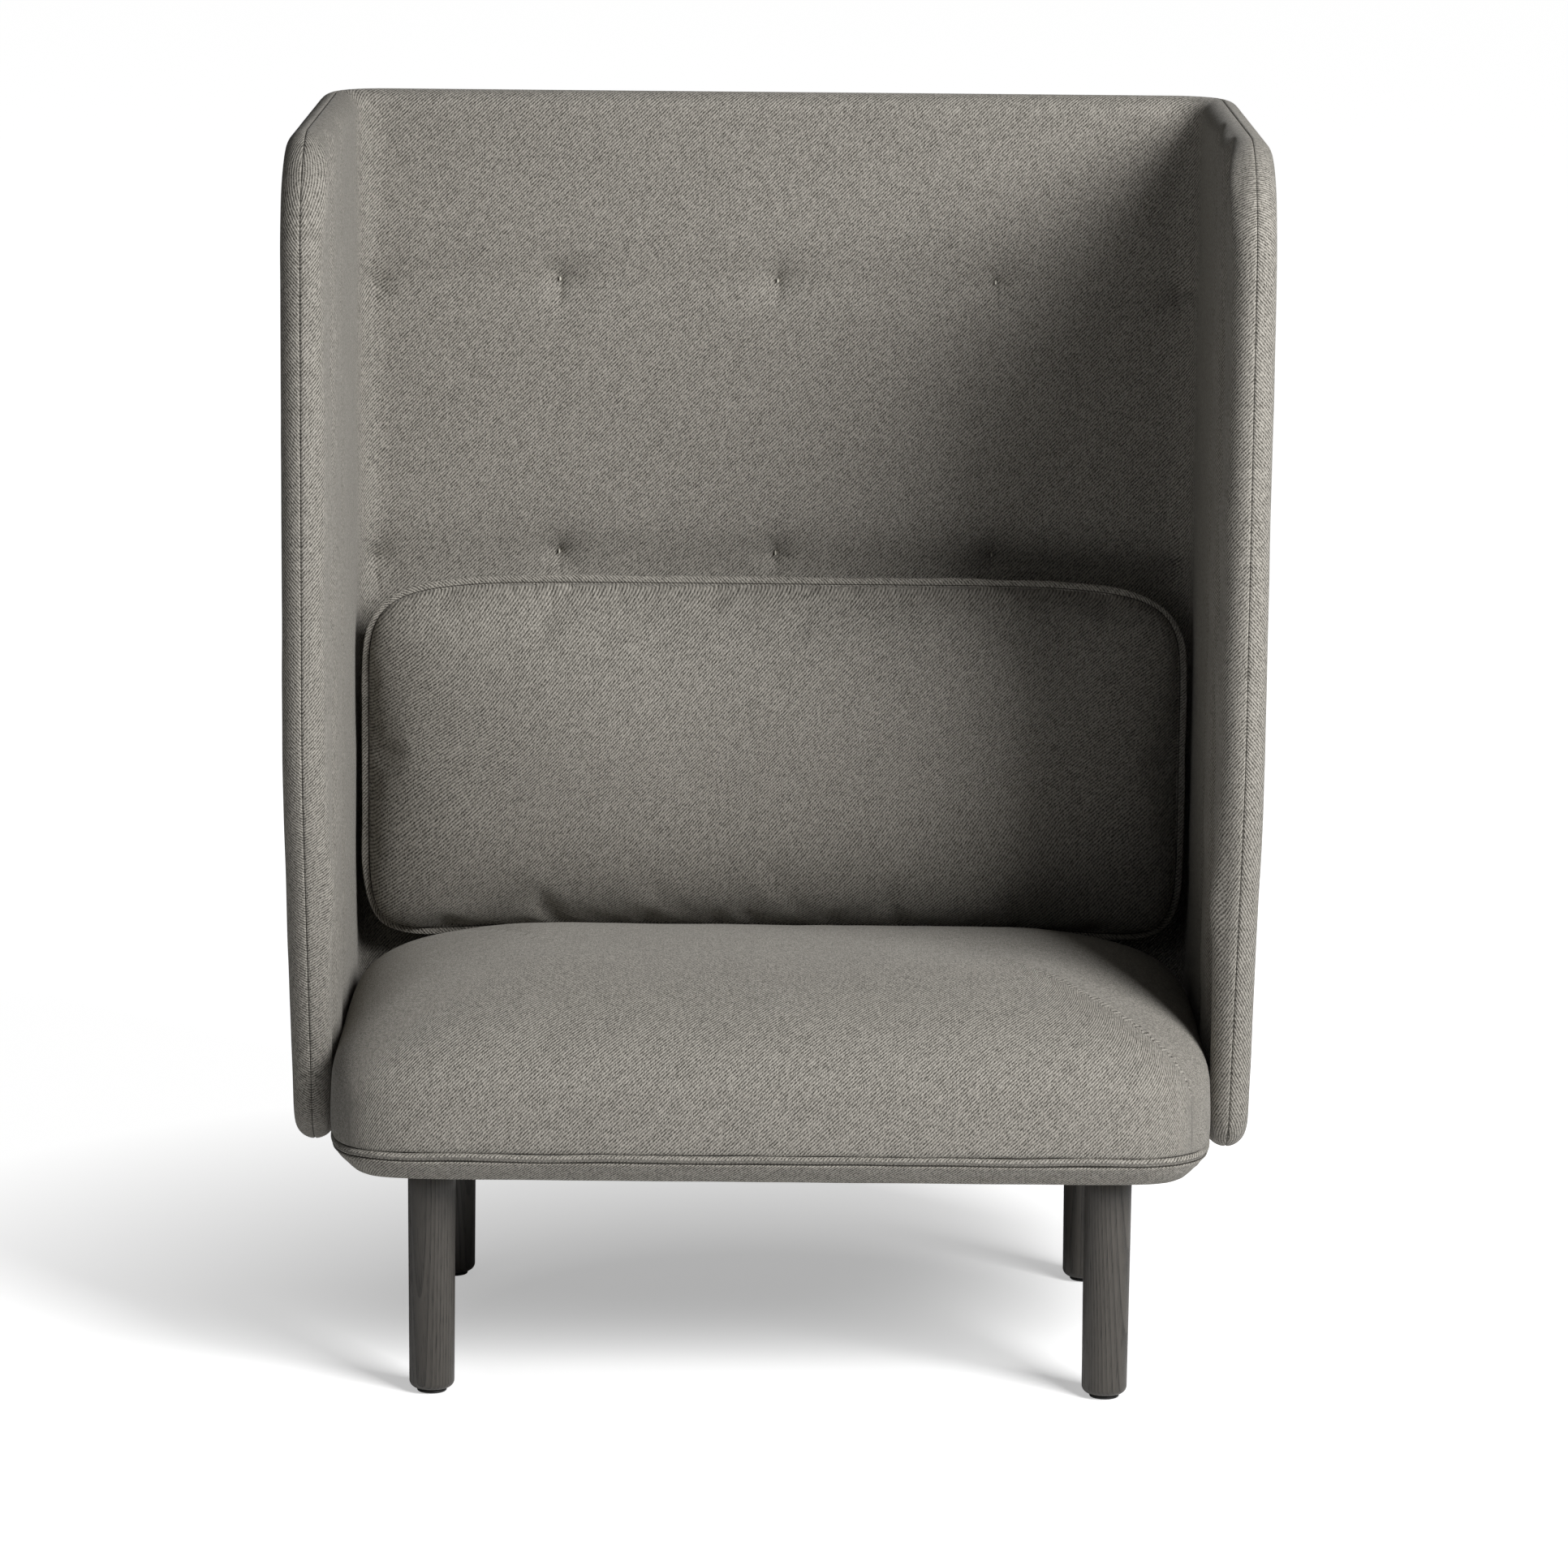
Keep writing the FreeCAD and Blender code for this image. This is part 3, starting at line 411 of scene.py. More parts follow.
@dataclass(frozen=True)
class PaleFloor:
    """Plain pale floor that keeps the chair's shadow and reads white where it is lit, with painted shade from
    a camera-only glow that is dimmer near the chair.
    """

    name: str = "studio_floor"
    painted_shade_glow: float = 0.40
    far_glow: float = 0.94
    glow_reach: tuple[float, float] = (0.35, 1.25)
    white: tuple[float, float, float] = (0.86, 0.86, 0.86)
    grey: tuple[float, float, float] = (0.84, 0.84, 0.84)

    def make(self) -> bpy.types.Material:
        """Build a matt floor with a glow that only the camera sees, weaker near the chair to paint shade
        round it.
        """
        g = Graph(self.name)
        path = g.add("LightPath")
        faint = g.noise(g.add("TexCoord", out=3), 3.0)
        tone = g.blend(g.spread(faint, 0.3, 0.7, 0.0, 0.3), rgb(*self.white), rgb(*self.grey))
        g.put(g.shader.inputs["Emission Color"], rgb(1, 1, 1))
        # The glow is weak near the chair and full far off, which paints shade round the chair.
        far = g.add("VectorMath", g.add("TexCoord", out=3), operation="LENGTH", out=1)
        glow = g.spread(far, *self.glow_reach, self.painted_shade_glow, self.far_glow)
        g.put(g.shader.inputs["Emission Strength"], g.calc("MULTIPLY", path, glow))
        return g.finish(tone, Roughness=0.95, Specular_IOR_Level=0.05)


# Meshes


def quads(rows: int, columns: int, first: int = 0, closed: bool = False,
          flip: bool = False) -> list[tuple[int, ...]]:
    """Faces of a grid of points.

    Args:
        rows: Points down.
        columns: Points across.
        first: Index of the first point.
        closed: Whether the last column joins the first.
        flip: Whether to turn the faces over.

    Returns:
        One tuple of four indices per face.
    """
    faces = []
    for i in range(rows - 1):
        for j in range(columns if closed else columns - 1):
            k = (j + 1) % columns
            face = (first + i * columns + j, first + i * columns + k,
                    first + (i + 1) * columns + k, first + (i + 1) * columns + j)
            faces.append(face[::-1] if flip else face)
    return faces


def grid_border(rows: int, columns: int) -> list[int]:
    """Indices of a grid's outer points, anticlockwise from its first one.

    Args:
        rows: Points down.
        columns: Points across.

    Returns:
        One index per outer point.
    """
    low = list(range(columns))
    right = [(i + 1) * columns - 1 for i in range(1, rows)]
    high = [(rows - 1) * columns + j for j in range(columns - 2, -1, -1)]
    left = [i * columns for i in range(rows - 2, 0, -1)]
    return low + right + high + left


def skirt(border: list[int], start: int, rings: int, flip: bool = False) -> list[tuple[int, ...]]:
    """Faces of closed rings of points that hang from a grid's border.

    Args:
        border: Indices of the border's points.
        start: Index of the first ring's first point.
        rings: How many rings hang from the border.
        flip: Whether to turn the faces over.

    Returns:
        One tuple of four indices per face, ring by ring.
    """
    count = len(border)
    faces = []
    previous = border
    for k in range(rings):
        current = list(range(start + k * count, start + (k + 1) * count))
        for j in range(count):
            n = (j + 1) % count
            face = (previous[j], current[j], current[n], previous[n])
            faces.append(face[::-1] if flip else face)
        previous = current
    return faces


def piece(name: str, points: np.ndarray, faces: list[tuple[int, ...]], finish: bpy.types.Material,
          body: str, uv: np.ndarray | None = None,
          replaces: tuple[str, ...] = ()) -> bpy.types.Object:
    """Make one named piece of the chair.

    Args:
        name: Piece's name.
        points: Its points, one row each.
        faces: Point indices of each face.
        finish: Material.
        body: CAD body that it rides on.
        uv: Place of each point on the cloth, in metres.
        replaces: CAD nodes that it stands for.

    Returns:
        The new object.
    """
    mesh = bpy.data.meshes.new(name)
    mesh.from_pydata([tuple(point) for point in points], [], faces)
    if uv is not None:
        layer = mesh.uv_layers.new(name="cloth")
        index = np.empty(len(mesh.loops), np.int32)
        mesh.loops.foreach_get("vertex_index", index)
        layer.data.foreach_set("uv", uv[index].astype(np.float32).ravel())
    mesh.polygons.foreach_set("use_smooth", [True] * len(mesh.polygons))
    mesh.materials.append(finish)
    mesh.validate()
    item = bpy.data.objects.new(name, mesh)
    bpy.context.scene.collection.objects.link(item)
    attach(item, body)
    if replaces:
        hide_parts(*replaces)
    return item


def points_of(mesh: bpy.types.Mesh) -> np.ndarray:
    """Points of a mesh, one row each."""
    flat = np.empty(len(mesh.vertices) * 3, np.float32)
    mesh.vertices.foreach_get("co", flat)
    return flat.reshape(-1, 3).astype(float)


def move_points(mesh: bpy.types.Mesh, points: np.ndarray) -> None:
    """Put a mesh's points at new places, one row each."""
    mesh.vertices.foreach_set("co", points.astype(np.float32).ravel())
    mesh.update()


def stitch(item: bpy.types.Object, thread_and_shade: bpy.types.Material, first: int, last: int) -> None:
    """Give a run of a piece's faces the seam's dark thread, which also paints shade in the seam.

    Args:
        item: Piece with one material.
        thread_and_shade: Seam's thread, dark partly as painted shade.
        first: First face.
        last: Face after the last one.
    """
    item.data.materials.append(thread_and_shade)
    for polygon in item.data.polygons[first:last]:
        polygon.material_index = 1


def run_along(line: np.ndarray) -> np.ndarray:
    """Distance along a line of points to each of them, from the first."""
    return np.concatenate([[0], np.cumsum(np.linalg.norm(np.diff(line, axis=0), axis=1))])


def lathe(profile: Sequence[tuple[float, float]], centre: tuple[float, float],
          sides: int = 64) -> tuple[np.ndarray, list[tuple[int, ...]], np.ndarray]:
    """Turn a profile of radius and height about an upright axis.

    Args:
        profile: Radius and height from the bottom centre to the top centre.
        centre: Axis in plan.
        sides: Steps round the turn.

    Returns:
        Points, faces and cloth places.
    """
    turn = np.linspace(0, 2 * math.pi, sides, endpoint=False)
    rows = []
    places = []
    for radius, height in profile:
        rows.append(np.stack([centre[0] + radius * np.cos(turn), centre[1] + radius * np.sin(turn),
                              np.full(sides, height)], 1))
        places.append(np.stack([turn * 0.025, np.full(sides, height)], 1))
    faces = quads(len(profile), sides, closed=True)
    faces.append(tuple(range(sides))[::-1])
    top = (len(profile) - 1) * sides
    faces.append(tuple(range(top, top + sides)))
    return np.concatenate(rows), faces, np.concatenate(places)


def rolling(points: np.ndarray, scale: float, seed: float) -> np.ndarray:
    """Smooth noise at each point, about -1 to 1.

    Args:
        points: Places, two or three numbers a row.
        scale: Length of one swell, in metres.
        seed: Shift that makes one field unlike another.

    Returns:
        One value a point.
    """
    spots = np.column_stack([points, np.zeros(len(points))]) if points.shape[1] == 2 else points
    return np.array([noise.noise(Vector((row[0] / scale + seed, row[1] / scale, row[2] / scale)))
                     for row in spots]) * 1.8


@dataclass(frozen=True)
class Swell:
    """Soft unevenness of padded cloth: length and height of a swell, and a seed of its own."""

    length: float
    height: float
    seed: float

    def over(self, places: np.ndarray) -> np.ndarray:
        """Height at each place."""
        return rolling(places, self.length, self.seed) * self.height

    def along(self, run: np.ndarray, lane: float = 0.0) -> np.ndarray:
        """Height at each distance along a seam."""
        return self.over(np.stack([run, run * 0 + lane], 1))


# Upholstered shell


@dataclass
class RoundedOutline:
    """Closed outline with rounded corners, followed anticlockwise and cut into four sides."""

    corners: list[tuple[float, float, float]]
    cuts: tuple[int, int, int, int]
    step: float = 0.001

    def trace(self) -> tuple[np.ndarray, np.ndarray, list[float]]:
        """Follow the outline in fine steps.

        Returns:
            Points, outward ways, and the run at the middle of each corner.
        """
        points = []
        ways = []
        middles = []
        count = len(self.corners)
        for i, (px, py, radius) in enumerate(self.corners):
            here = np.array([px, py])
            before = np.array(self.corners[i - 1][:2]) - here
            after = np.array(self.corners[(i + 1) % count][:2]) - here
            before = before / np.linalg.norm(before)
            after = after / np.linalg.norm(after)
            half = math.acos(float(np.clip(before @ after, -1, 1))) / 2
            bisector = (before + after) / np.linalg.norm(before + after)
            centre = here + bisector * radius / math.sin(half)
            first = math.atan2(-before[0], before[1]) + math.pi
            swing = math.pi - 2 * half
            steps = max(8, int(radius * swing / self.step))
            turns = first + np.linspace(0, swing, steps)
            arc_ways = np.stack([np.cos(turns), np.sin(turns)], 1)
            middles.append(sum(len(part) for part in points) + steps // 2)
            points.append(centre + arc_ways * radius)
            ways.append(arc_ways)
        return np.concatenate(points), np.concatenate(ways), middles

    def sides(self, counts: tuple[int, int]) -> tuple[np.ndarray, np.ndarray]:
        """Evenly spaced points round the outline, with a set number on each side.

        Args:
            counts: Steps along the bottom and top, and along each side.

        Returns:
            Points and outward ways, from the first cut.
        """
        points, ways, middles = self.trace()
        closed = np.concatenate([points, points[:1]])
        run = run_along(closed)
        total = run[-1]
        marks = [run[middles[cut]] for cut in self.cuts]
        places = []
        for k in range(4):
            low = marks[k]
            high = marks[(k + 1) % 4]
            high = high + total if high <= low else high
            places.append(np.linspace(low, high, counts[k % 2] + 1)[:-1] % total)
        at = np.concatenate(places)
        even = np.stack([np.interp(at, run, closed[:, i]) for i in (0, 1)], 1)
        wayed = np.concatenate([ways, ways[:1]])
        out = np.stack([np.interp(at, run, wayed[:, i]) for i in (0, 1)], 1)
        return even, out / np.linalg.norm(out, axis=1)[:, None]


@dataclass(frozen=True)
class Tuft:
    """One pulled tuft: its place on the flat cloth, and the sizes of its hollow and folds."""

    run: float
    height: float
    reach: float
    depth: float
    fold_depth: float
    crease_depth: float = 0.0026
    crease_width: float = 0.0034
    folds: int = 5
    fold_turn: float = 2.399

    def press(self, swell: np.ndarray, run: np.ndarray, height: np.ndarray, first_turn: float) -> None:
        """Press the tuft into the padding.

        Args:
            swell: Height of the padding, which is changed.
            run: Each point's run along the cloth.
            height: Each point's height.
            first_turn: Direction of the first fold, in radians.
        """
        dx = run - self.run
        dz = height - self.height
        far = np.hypot(dx, dz)
        swell -= self.depth * np.exp(-(far / self.reach) ** 1.35)
        crease = np.exp(-(dx / self.crease_width) ** 2) * np.exp(-((dz + 0.013) / 0.016) ** 2)
        swell -= self.crease_depth * crease
        for k in range(self.folds):
            turn = (self.fold_turn * k + first_turn) % (2 * math.pi)
            along = dx * math.cos(turn) + dz * math.sin(turn)
            off = -dx * math.sin(turn) + dz * math.cos(turn)
            width = 0.0028 + 0.07 * np.maximum(along, 0)
            fold = np.exp(-(off / width) ** 2) * np.exp(-np.maximum(along - 0.006, 0) / 0.020)
            swell -= self.fold_depth * fold * (along > 0)


@dataclass
class UpholsteredShell:
    """Tufted back and wings: two covers over bent plywood that meet in a seam along the rim."""

    inner_half_width: float = 0.485
    back_face: float = 0.300
    inner_bend: float = 0.032
    thickness: float = 0.045
    wing_front: float = -0.330
    rake_height: float = 0.700
    rake_setback: float = 0.150
    bottom: float = 0.258
    top: float = 1.390
    top_corner: float = 0.130
    rake_corner: float = 0.400
    foot_corner: float = 0.070
    steps: tuple[int, int] = (300, 150)
    rim_steps: int = 12
    rim_fade: float = 0.008
    seam_groove: float = 0.0013
    seam_width: float = math.radians(2.2)
    seam_turns: tuple[float, float] = (87.0, 89.0)
    tuft_rows: tuple[float, float] = (1.173, 0.854)
    tuft_columns: tuple[float, ...] = (-0.252, 0.0, 0.252)
    wing_tuft_y: float = 0.010
    tuft_depth: float = 0.0115
    tuft_reach: float = 0.021
    tuft_fold: float = 0.0011
    corner_drop: float = 0.007
    corner_reach: float = 0.017
    corner_fold: float = 0.0006
    tuft_zones: tuple[float, float] = (0.055, 0.034)
    row_valley: float = 0.0032
    row_width: float = 0.024
    row_fade: float = 0.03
    fold_turn_step: float = 1.7
    wing_valleys: tuple[tuple[float, float], ...] = ((0.010, 0.0050), (-0.160, 0.0070))
    valley_width: float = 0.019
    edge_swell: tuple[float, float, float] = (0.0062, 0.060, 0.038)
    wing_swell: tuple[float, float, float] = (0.0045, 0.235, 0.055)
    front_waver: Swell = Swell(0.085, 0.5, 5.0)
    inner_swells: tuple[Swell, Swell] = (Swell(0.16, 0.0007, 3.1), Swell(0.05, 0.00022, 8.7))
    outer_swells: tuple[Swell, Swell] = (Swell(0.22, 0.0007, 11.3), Swell(0.06, 0.00022, 2.9))
    tufts: list[Tuft] = field(init=False)

    def __post_init__(self) -> None:
        """Lay out the tufts of both rows: back, wings, then the corners between them."""
        corner_run = self.bend_start + self.inner_bend * 0.34
        wing_run = self.run_at(self.wing_tuft_y)
        corner_depth = 0.8 * self.tuft_depth
        self.tufts = []
        for height in self.tuft_rows:
            for run in (*self.tuft_columns, -wing_run, wing_run):
                self.tufts.append(Tuft(run, height, self.tuft_reach, self.tuft_depth, self.tuft_fold))
            for run in (-corner_run, corner_run):
                self.tufts.append(Tuft(run, height - self.corner_drop, self.corner_reach, corner_depth,
                                       self.corner_fold))

    @property
    def bend_start(self) -> float:
        """Run along the back at which the bend starts."""
        return self.inner_half_width - self.inner_bend

    @property
    def bend_end(self) -> float:
        """Run at which the bend ends and the wing starts."""
        return self.bend_start + self.inner_bend * math.pi / 2

    @property
    def full_run(self) -> float:
        """Run at the wing's front edge."""
        return self.run_at(self.wing_front)

    def run_at(self, y: float) -> float:
        """Run at a place along a wing."""
        return self.bend_end + self.back_face - self.inner_bend - y

    def outline(self) -> RoundedOutline:
        """Outline of the shell laid flat."""
        run = self.full_run
        foot = run - self.rake_setback
        return RoundedOutline([
            (-foot, self.bottom, self.foot_corner), (foot, self.bottom, self.foot_corner),
            (run, self.rake_height, self.rake_corner), (run, self.top, self.top_corner),
            (-run, self.top, self.top_corner), (-run, self.rake_height, self.rake_corner),
        ], cuts=(0, 1, 3, 4))

    def bent(self, flat: np.ndarray) -> np.ndarray:
        """Bend flat places of run, height and depth into the shell's plan.

        Args:
            flat: Run, height and depth behind the inner face, one row each.

        Returns:
            Points in the chair's frame.
        """
        run = np.abs(flat[:, 0])
        side = np.where(flat[:, 0] < 0, -1.0, 1.0)
        depth = flat[:, 2]
        turn = np.clip((run - self.bend_start) / self.inner_bend, 0, math.pi / 2)
        radius = self.inner_bend + depth
        x = np.minimum(run, self.bend_start) + radius * np.sin(turn)
        y = self.back_face - self.inner_bend + radius * np.cos(turn) - np.maximum(run - self.bend_end, 0)
        return np.stack([x * side, y, flat[:, 1]], 1)

    def puff(self, flat: np.ndarray) -> np.ndarray:
        """How far the padded inner face stands out from its plain face.

        Args:
            flat: Run and height, one row each.

        Returns:
            Height of the padding over the plain face, one value a row.
        """
        run = flat[:, 0]
        height = flat[:, 1]
        wide, fine = self.inner_swells
        swell = wide.over(flat[:, :2]) + fine.over(flat[:, :2])
        for i, tuft in enumerate(self.tufts):
            tuft.press(swell, run, height, self.fold_turn_step * i)
        for row in self.tuft_rows:
            fade = np.clip((self.bend_end - np.abs(run)) / self.row_fade, 0, 1)
            swell -= self.row_valley * np.exp(-((height - row) / self.row_width) ** 2) * fade
        for place, depth in self.wing_valleys:
            wavy = self.run_at(place) + Swell(0.11, 0.006, 1.3 + place * 9).along(height)
            swell -= depth * np.exp(-((np.abs(run) - wavy) / self.valley_width) ** 2)
        front = self.full_run - np.abs(run)
        roll = 1 + self.front_waver.along(height)
        for (rise, place, width), share in ((self.edge_swell, roll), (self.wing_swell, 2 - roll)):
            swell += rise * np.exp(-((front - place) / width) ** 2) * share
        return swell

    def dress(self, cloth: bpy.types.Material, thread_and_shade: bpy.types.Material) -> None:
        """Build the two covers.

        Args:
            cloth: Upholstery cloth.
            thread_and_shade: Seam's thread, dark partly as painted shade.
        """
        edge, way = self.outline().sides(self.steps)
        for inner in (True, False):
            self.cover(edge, way, inner, cloth, thread_and_shade)

    def rim(self, edge: np.ndarray, way: np.ndarray,
            inner: bool) -> tuple[list[np.ndarray], list[np.ndarray]]:
        """Rows that roll from the face over the rim, down into the seam's groove.

        Args:
            edge: Shell's outline, laid flat.
            way: Outward ways along it.
            inner: Whether they are the inner cover's.

        Returns:
            Points of each row, and their places on the cloth.
        """
        half = self.thickness / 2
        quarter = np.linspace(0, math.pi / 2, self.rim_steps)
        rings = []
        places = []
        for angle in np.sort(np.concatenate([quarter[:-1], np.radians(self.seam_turns), [math.pi / 2]])):
            groove = self.seam_groove * math.exp(-((math.pi / 2 - angle) / self.seam_width) ** 2)
            inset = half * (1 - math.sin(angle)) + groove
            depth = half * (1 - math.cos(angle))
            depth = depth if inner else self.thickness - depth
            flat = edge - way * inset
            rings.append(np.column_stack([flat, np.full(len(flat), depth)]))
            places.append(edge - way * half + way * (half * angle))
        return rings, places

    def cover(self, edge: np.ndarray, way: np.ndarray, inner: bool, cloth: bpy.types.Material,
              thread_and_shade: bpy.types.Material) -> None:
        """Cut one cover flat, pad it and bend it into place.

        Args:
            edge: Shell's outline, laid flat.
            way: Outward ways along it.
            inner: Whether it is the inner cover.
            cloth: Upholstery cloth.
            thread_and_shade: Seam's thread, dark partly as painted shade.
        """
        side = "inner" if inner else "outer"
        rings, places = self.rim(edge, way, inner)
        face = self.patch(edge - way * (self.thickness / 2))
        rows, columns = face.shape[:2]
        flat = face.reshape(-1, 2)
        level = np.full(len(flat), 0.0 if inner else self.thickness)
        faces = quads(rows, columns, flip=not inner)
        faces += skirt(grid_border(rows, columns), len(flat), len(rings) - 1, flip=not inner)
        points = np.concatenate([np.column_stack([flat, level]), *rings[1:]])
        cover = piece(f"shell_cover_{side}", points, faces, cloth, "chair",
                      np.concatenate([flat, *places[1:]]), (f"back_cover_{side}", f"back_pad_{side}"))
        # The last ring into the seam's groove takes the dark thread, which is painted shade in the groove.
        stitch(cover, thread_and_shade, len(faces) - len(edge), len(faces))
        if inner:
            self.refine(cover.data)
        self.shape(cover.data, inner)
        LOG.info("%s has %d faces", cover.name, len(cover.data.polygons))

    def patch(self, edge: np.ndarray) -> np.ndarray:
        """Fill an outline with a grid that meets it point for point.

        Args:
            edge: Outline's points, from the lower left cut, anticlockwise.

        Returns:
            Grid of points, from the bottom up.
        """
        across, up = self.steps
        low = edge[:across + 1]
        right = edge[across:across + up + 1]
        high = edge[across + up:2 * across + up + 1][::-1]
        left = np.concatenate([edge[2 * across + up:], edge[:1]])[::-1]
        u = np.linspace(0, 1, across + 1)[None, :, None]
        v = np.linspace(0, 1, up + 1)[:, None, None]
        ruled = (1 - v) * low[None] + v * high[None] + (1 - u) * left[:, None] + u * right[:, None]
        corners = ((1 - u) * (1 - v) * low[0] + u * (1 - v) * low[-1]
                   + u * v * high[-1] + (1 - u) * v * high[0])
        return ruled - corners

    def refine(self, mesh: bpy.types.Mesh) -> None:
        """Divide the flat mesh more finely round each tuft.

        Args:
            mesh: Inner cover, still laid flat.
        """
        build = bmesh.new()
        build.from_mesh(mesh)
        for reach in self.tuft_zones:
            near_tufts = []
            for edge in build.edges:
                middle = (edge.verts[0].co + edge.verts[1].co) / 2
                if any(math.hypot(middle.x - tuft.run, middle.y - tuft.height) < reach
                       for tuft in self.tufts):
                    near_tufts.append(edge)
            bmesh.ops.subdivide_edges(build, edges=near_tufts, cuts=1, use_grid_fill=True)
        build.to_mesh(mesh)
        build.free()

    def shape(self, mesh: bpy.types.Mesh, inner: bool) -> None:
        """Pad the flat mesh, then bend it into place.

        Args:
            mesh: One cover, laid flat.
            inner: Whether it is the inner cover.
        """
        flat = points_of(mesh)
        if inner:
            fade = 1 - np.clip(flat[:, 2] / self.rim_fade, 0, 1)
            flat[:, 2] -= self.puff(flat) * fade
        else:
            fade = 1 - np.clip((self.thickness - flat[:, 2]) / self.rim_fade, 0, 1)
            wide, fine = self.outer_swells
            flat[:, 2] += (wide.over(flat[:, :2]) + fine.over(flat[:, :2])) * fade
        move_points(mesh, self.bent(flat))


# Seat


@dataclass
class RolledGrid:
    """Nodes along one direction of a pad: even over its flat, then closer round its rolled edges."""

    low: float
    high: float
    low_reach: float
    high_reach: float
    roll_steps: int = 24
    flat_step: float = 0.012

    def nodes(self) -> tuple[np.ndarray, np.ndarray]:
        """Flat place of each node and how far through the roll it lies, -1 to 1."""
        turns = np.linspace(0, math.pi / 2, self.roll_steps + 1)[:-1]
        flat_low = self.low + self.low_reach
        flat_high = self.high - self.high_reach
        middle = np.linspace(flat_low, flat_high, max(2, int((flat_high - flat_low) / self.flat_step)) + 1)
        place = np.concatenate([np.full(len(turns), flat_low), middle, np.full(len(turns), flat_high)])
        share = np.concatenate([-np.cos(turns), np.zeros(len(middle)), np.cos(turns)[::-1]])
        return place, share


def squared_roll(share_x: np.ndarray, share_y: np.ndarray,
                 power: float | np.ndarray) -> tuple[np.ndarray, np.ndarray, np.ndarray]:
    """Pull a square grid's rings onto rounded rectangles.

    Args:
        share_x: Roll share across.
        share_y: Roll share along.
        power: How square the corners stay.

    Returns:
        Shares across and along, and the ring that each node lies on.
    """
    ring = np.maximum(np.abs(share_x), np.abs(share_y))
    norm = (np.abs(share_x) ** power + np.abs(share_y) ** power) ** (1 / power)
    scale = np.where(norm > 0, ring / np.maximum(norm, 1e-9), 1.0)
    return share_x * scale, share_y * scale, ring


@dataclass
class DomedSeat:
    """Seat pad: a domed top that rolls down to upright sides, a piped seam and a band drawn in under it."""

    half_width: float = 0.484
    front: float = -0.345
    rear: float = 0.2995
    reach: float = 0.240
    rear_reach: float = 0.360
    side_height: float = 0.350
    crown_height: float = 0.467
    welt_height: float = 0.288
    welt_radius: float = 0.0042
    band_foot: float = 0.2568
    band_taper: float = 0.026
    corner_power: float = 6.0
    crown_power: float = 2.3
    side_rows: tuple[tuple[float, float], ...] = (
        (0.008, 0.0003), (0.018, 0.0008), (0.030, 0.0012), (0.042, 0.0012), (0.050, 0.0008), (0.054, 0.0002),
        (0.0565, -0.0010), (0.0575, -0.0030))
    top_swells: tuple[Swell, Swell] = (Swell(0.13, 0.0012, 4.2), Swell(0.045, 0.0003, 9.9))
    hem_swell: Swell = Swell(0.05, 0.0007, 6.0)
    hem_start: float = 0.05
    square_to_side: float = 0.7071
    piping_swell: Swell = Swell(0.085, 0.0013, 2.0)
    piping_stand: float = 0.0010
    piping_sides: int = 14
    seam_radius: float = 0.0007
    seam_stand: float = -0.0012
    seam_drop: float = 0.0046
    band_hollow: float = 0.0025
    band_cloth: float = 0.035
    rear_ease: float = 0.02
    rear_share: float = 0.9
    band_swell: Swell = Swell(0.07, 0.0006, 7.7)
    band_lip: tuple[tuple[float, float], ...] = ((0.0, 0.0055), (0.03, 0.0025), (0.08, 0.0008))
    band_hem: tuple[tuple[float, float], ...] = ((0.955, 0.0252), (0.99, 0.0278), (1.0, 0.032), (1.0, 0.046))

    def dress(self, cloth: bpy.types.Material, thread_and_shade: bpy.types.Material) -> None:
        """Build the cover, the piping and the band.

        Args:
            cloth: Upholstery cloth.
            thread_and_shade: Seam's thread, dark partly as painted shade.
        """
        grid_x = RolledGrid(-self.half_width, self.half_width, self.reach, self.reach)
        grid_y = RolledGrid(self.front, self.rear, self.reach, self.rear_reach)
        place_x, share_x = grid_x.nodes()
        place_y, share_y = grid_y.nodes()
        flat_x, flat_y = np.meshgrid(place_x, place_y)
        roll_x, roll_y = np.meshgrid(share_x, share_y)
        level = np.maximum(np.abs(roll_x), np.abs(roll_y))
        power = self.crown_power + (self.corner_power - self.crown_power) * level ** 4
        roll_x, roll_y, ring = squared_roll(roll_x, roll_y, power)
        rise = self.crown_height - self.side_height
        x = flat_x + self.reach * roll_x
        y = flat_y + np.where(roll_y < 0, self.reach, self.rear_reach) * roll_y
        z = self.side_height + rise * np.sqrt(np.maximum(0, 1 - ring ** 2))
        rows, columns = x.shape
        points = np.stack([x, y, z], 2).reshape(-1, 3)
        arc_x = self.arc_runs(place_x, share_x, self.reach)
        arc_y = self.arc_runs(place_y, share_y, self.rear_reach)
        uv = np.stack(np.meshgrid(arc_x, arc_y), 2).reshape(-1, 2)
        wide, fine = self.top_swells
        swell = wide.over(points[:, :2]) + fine.over(points[:, :2])
        points[:, 2] += swell * np.sqrt(np.maximum(0, 1 - ring.reshape(-1) ** 2))
        border = grid_border(rows, columns)
        out = self.outward(points[border])
        faces = quads(rows, columns) + skirt(border, len(points), len(self.side_rows))
        self.cover(points, uv, faces, border, out, cloth)
        outline = np.column_stack([points[border][:, :2], out[:, :2]])
        self.piping(outline, cloth, thread_and_shade)
        self.band(outline, cloth)

    def arc_runs(self, place: np.ndarray, share: np.ndarray, high_reach: float) -> np.ndarray:
        """Measure along the cloth.

        Args:
            place: Flat place of each node.
            share: How far through the roll it lies.
            high_reach: Reach of the roll at the high end.

        Returns:
            Length of cloth from the middle to each node.
        """
        rise = self.crown_height - self.side_height
        flat = place + np.where(share < 0, self.reach, high_reach) * share
        height = rise * np.sqrt(np.maximum(0, 1 - share ** 2))
        steps = np.hypot(np.diff(flat), np.diff(height))
        run = np.concatenate([[0], np.cumsum(steps)])
        return run - run[-1] / 2

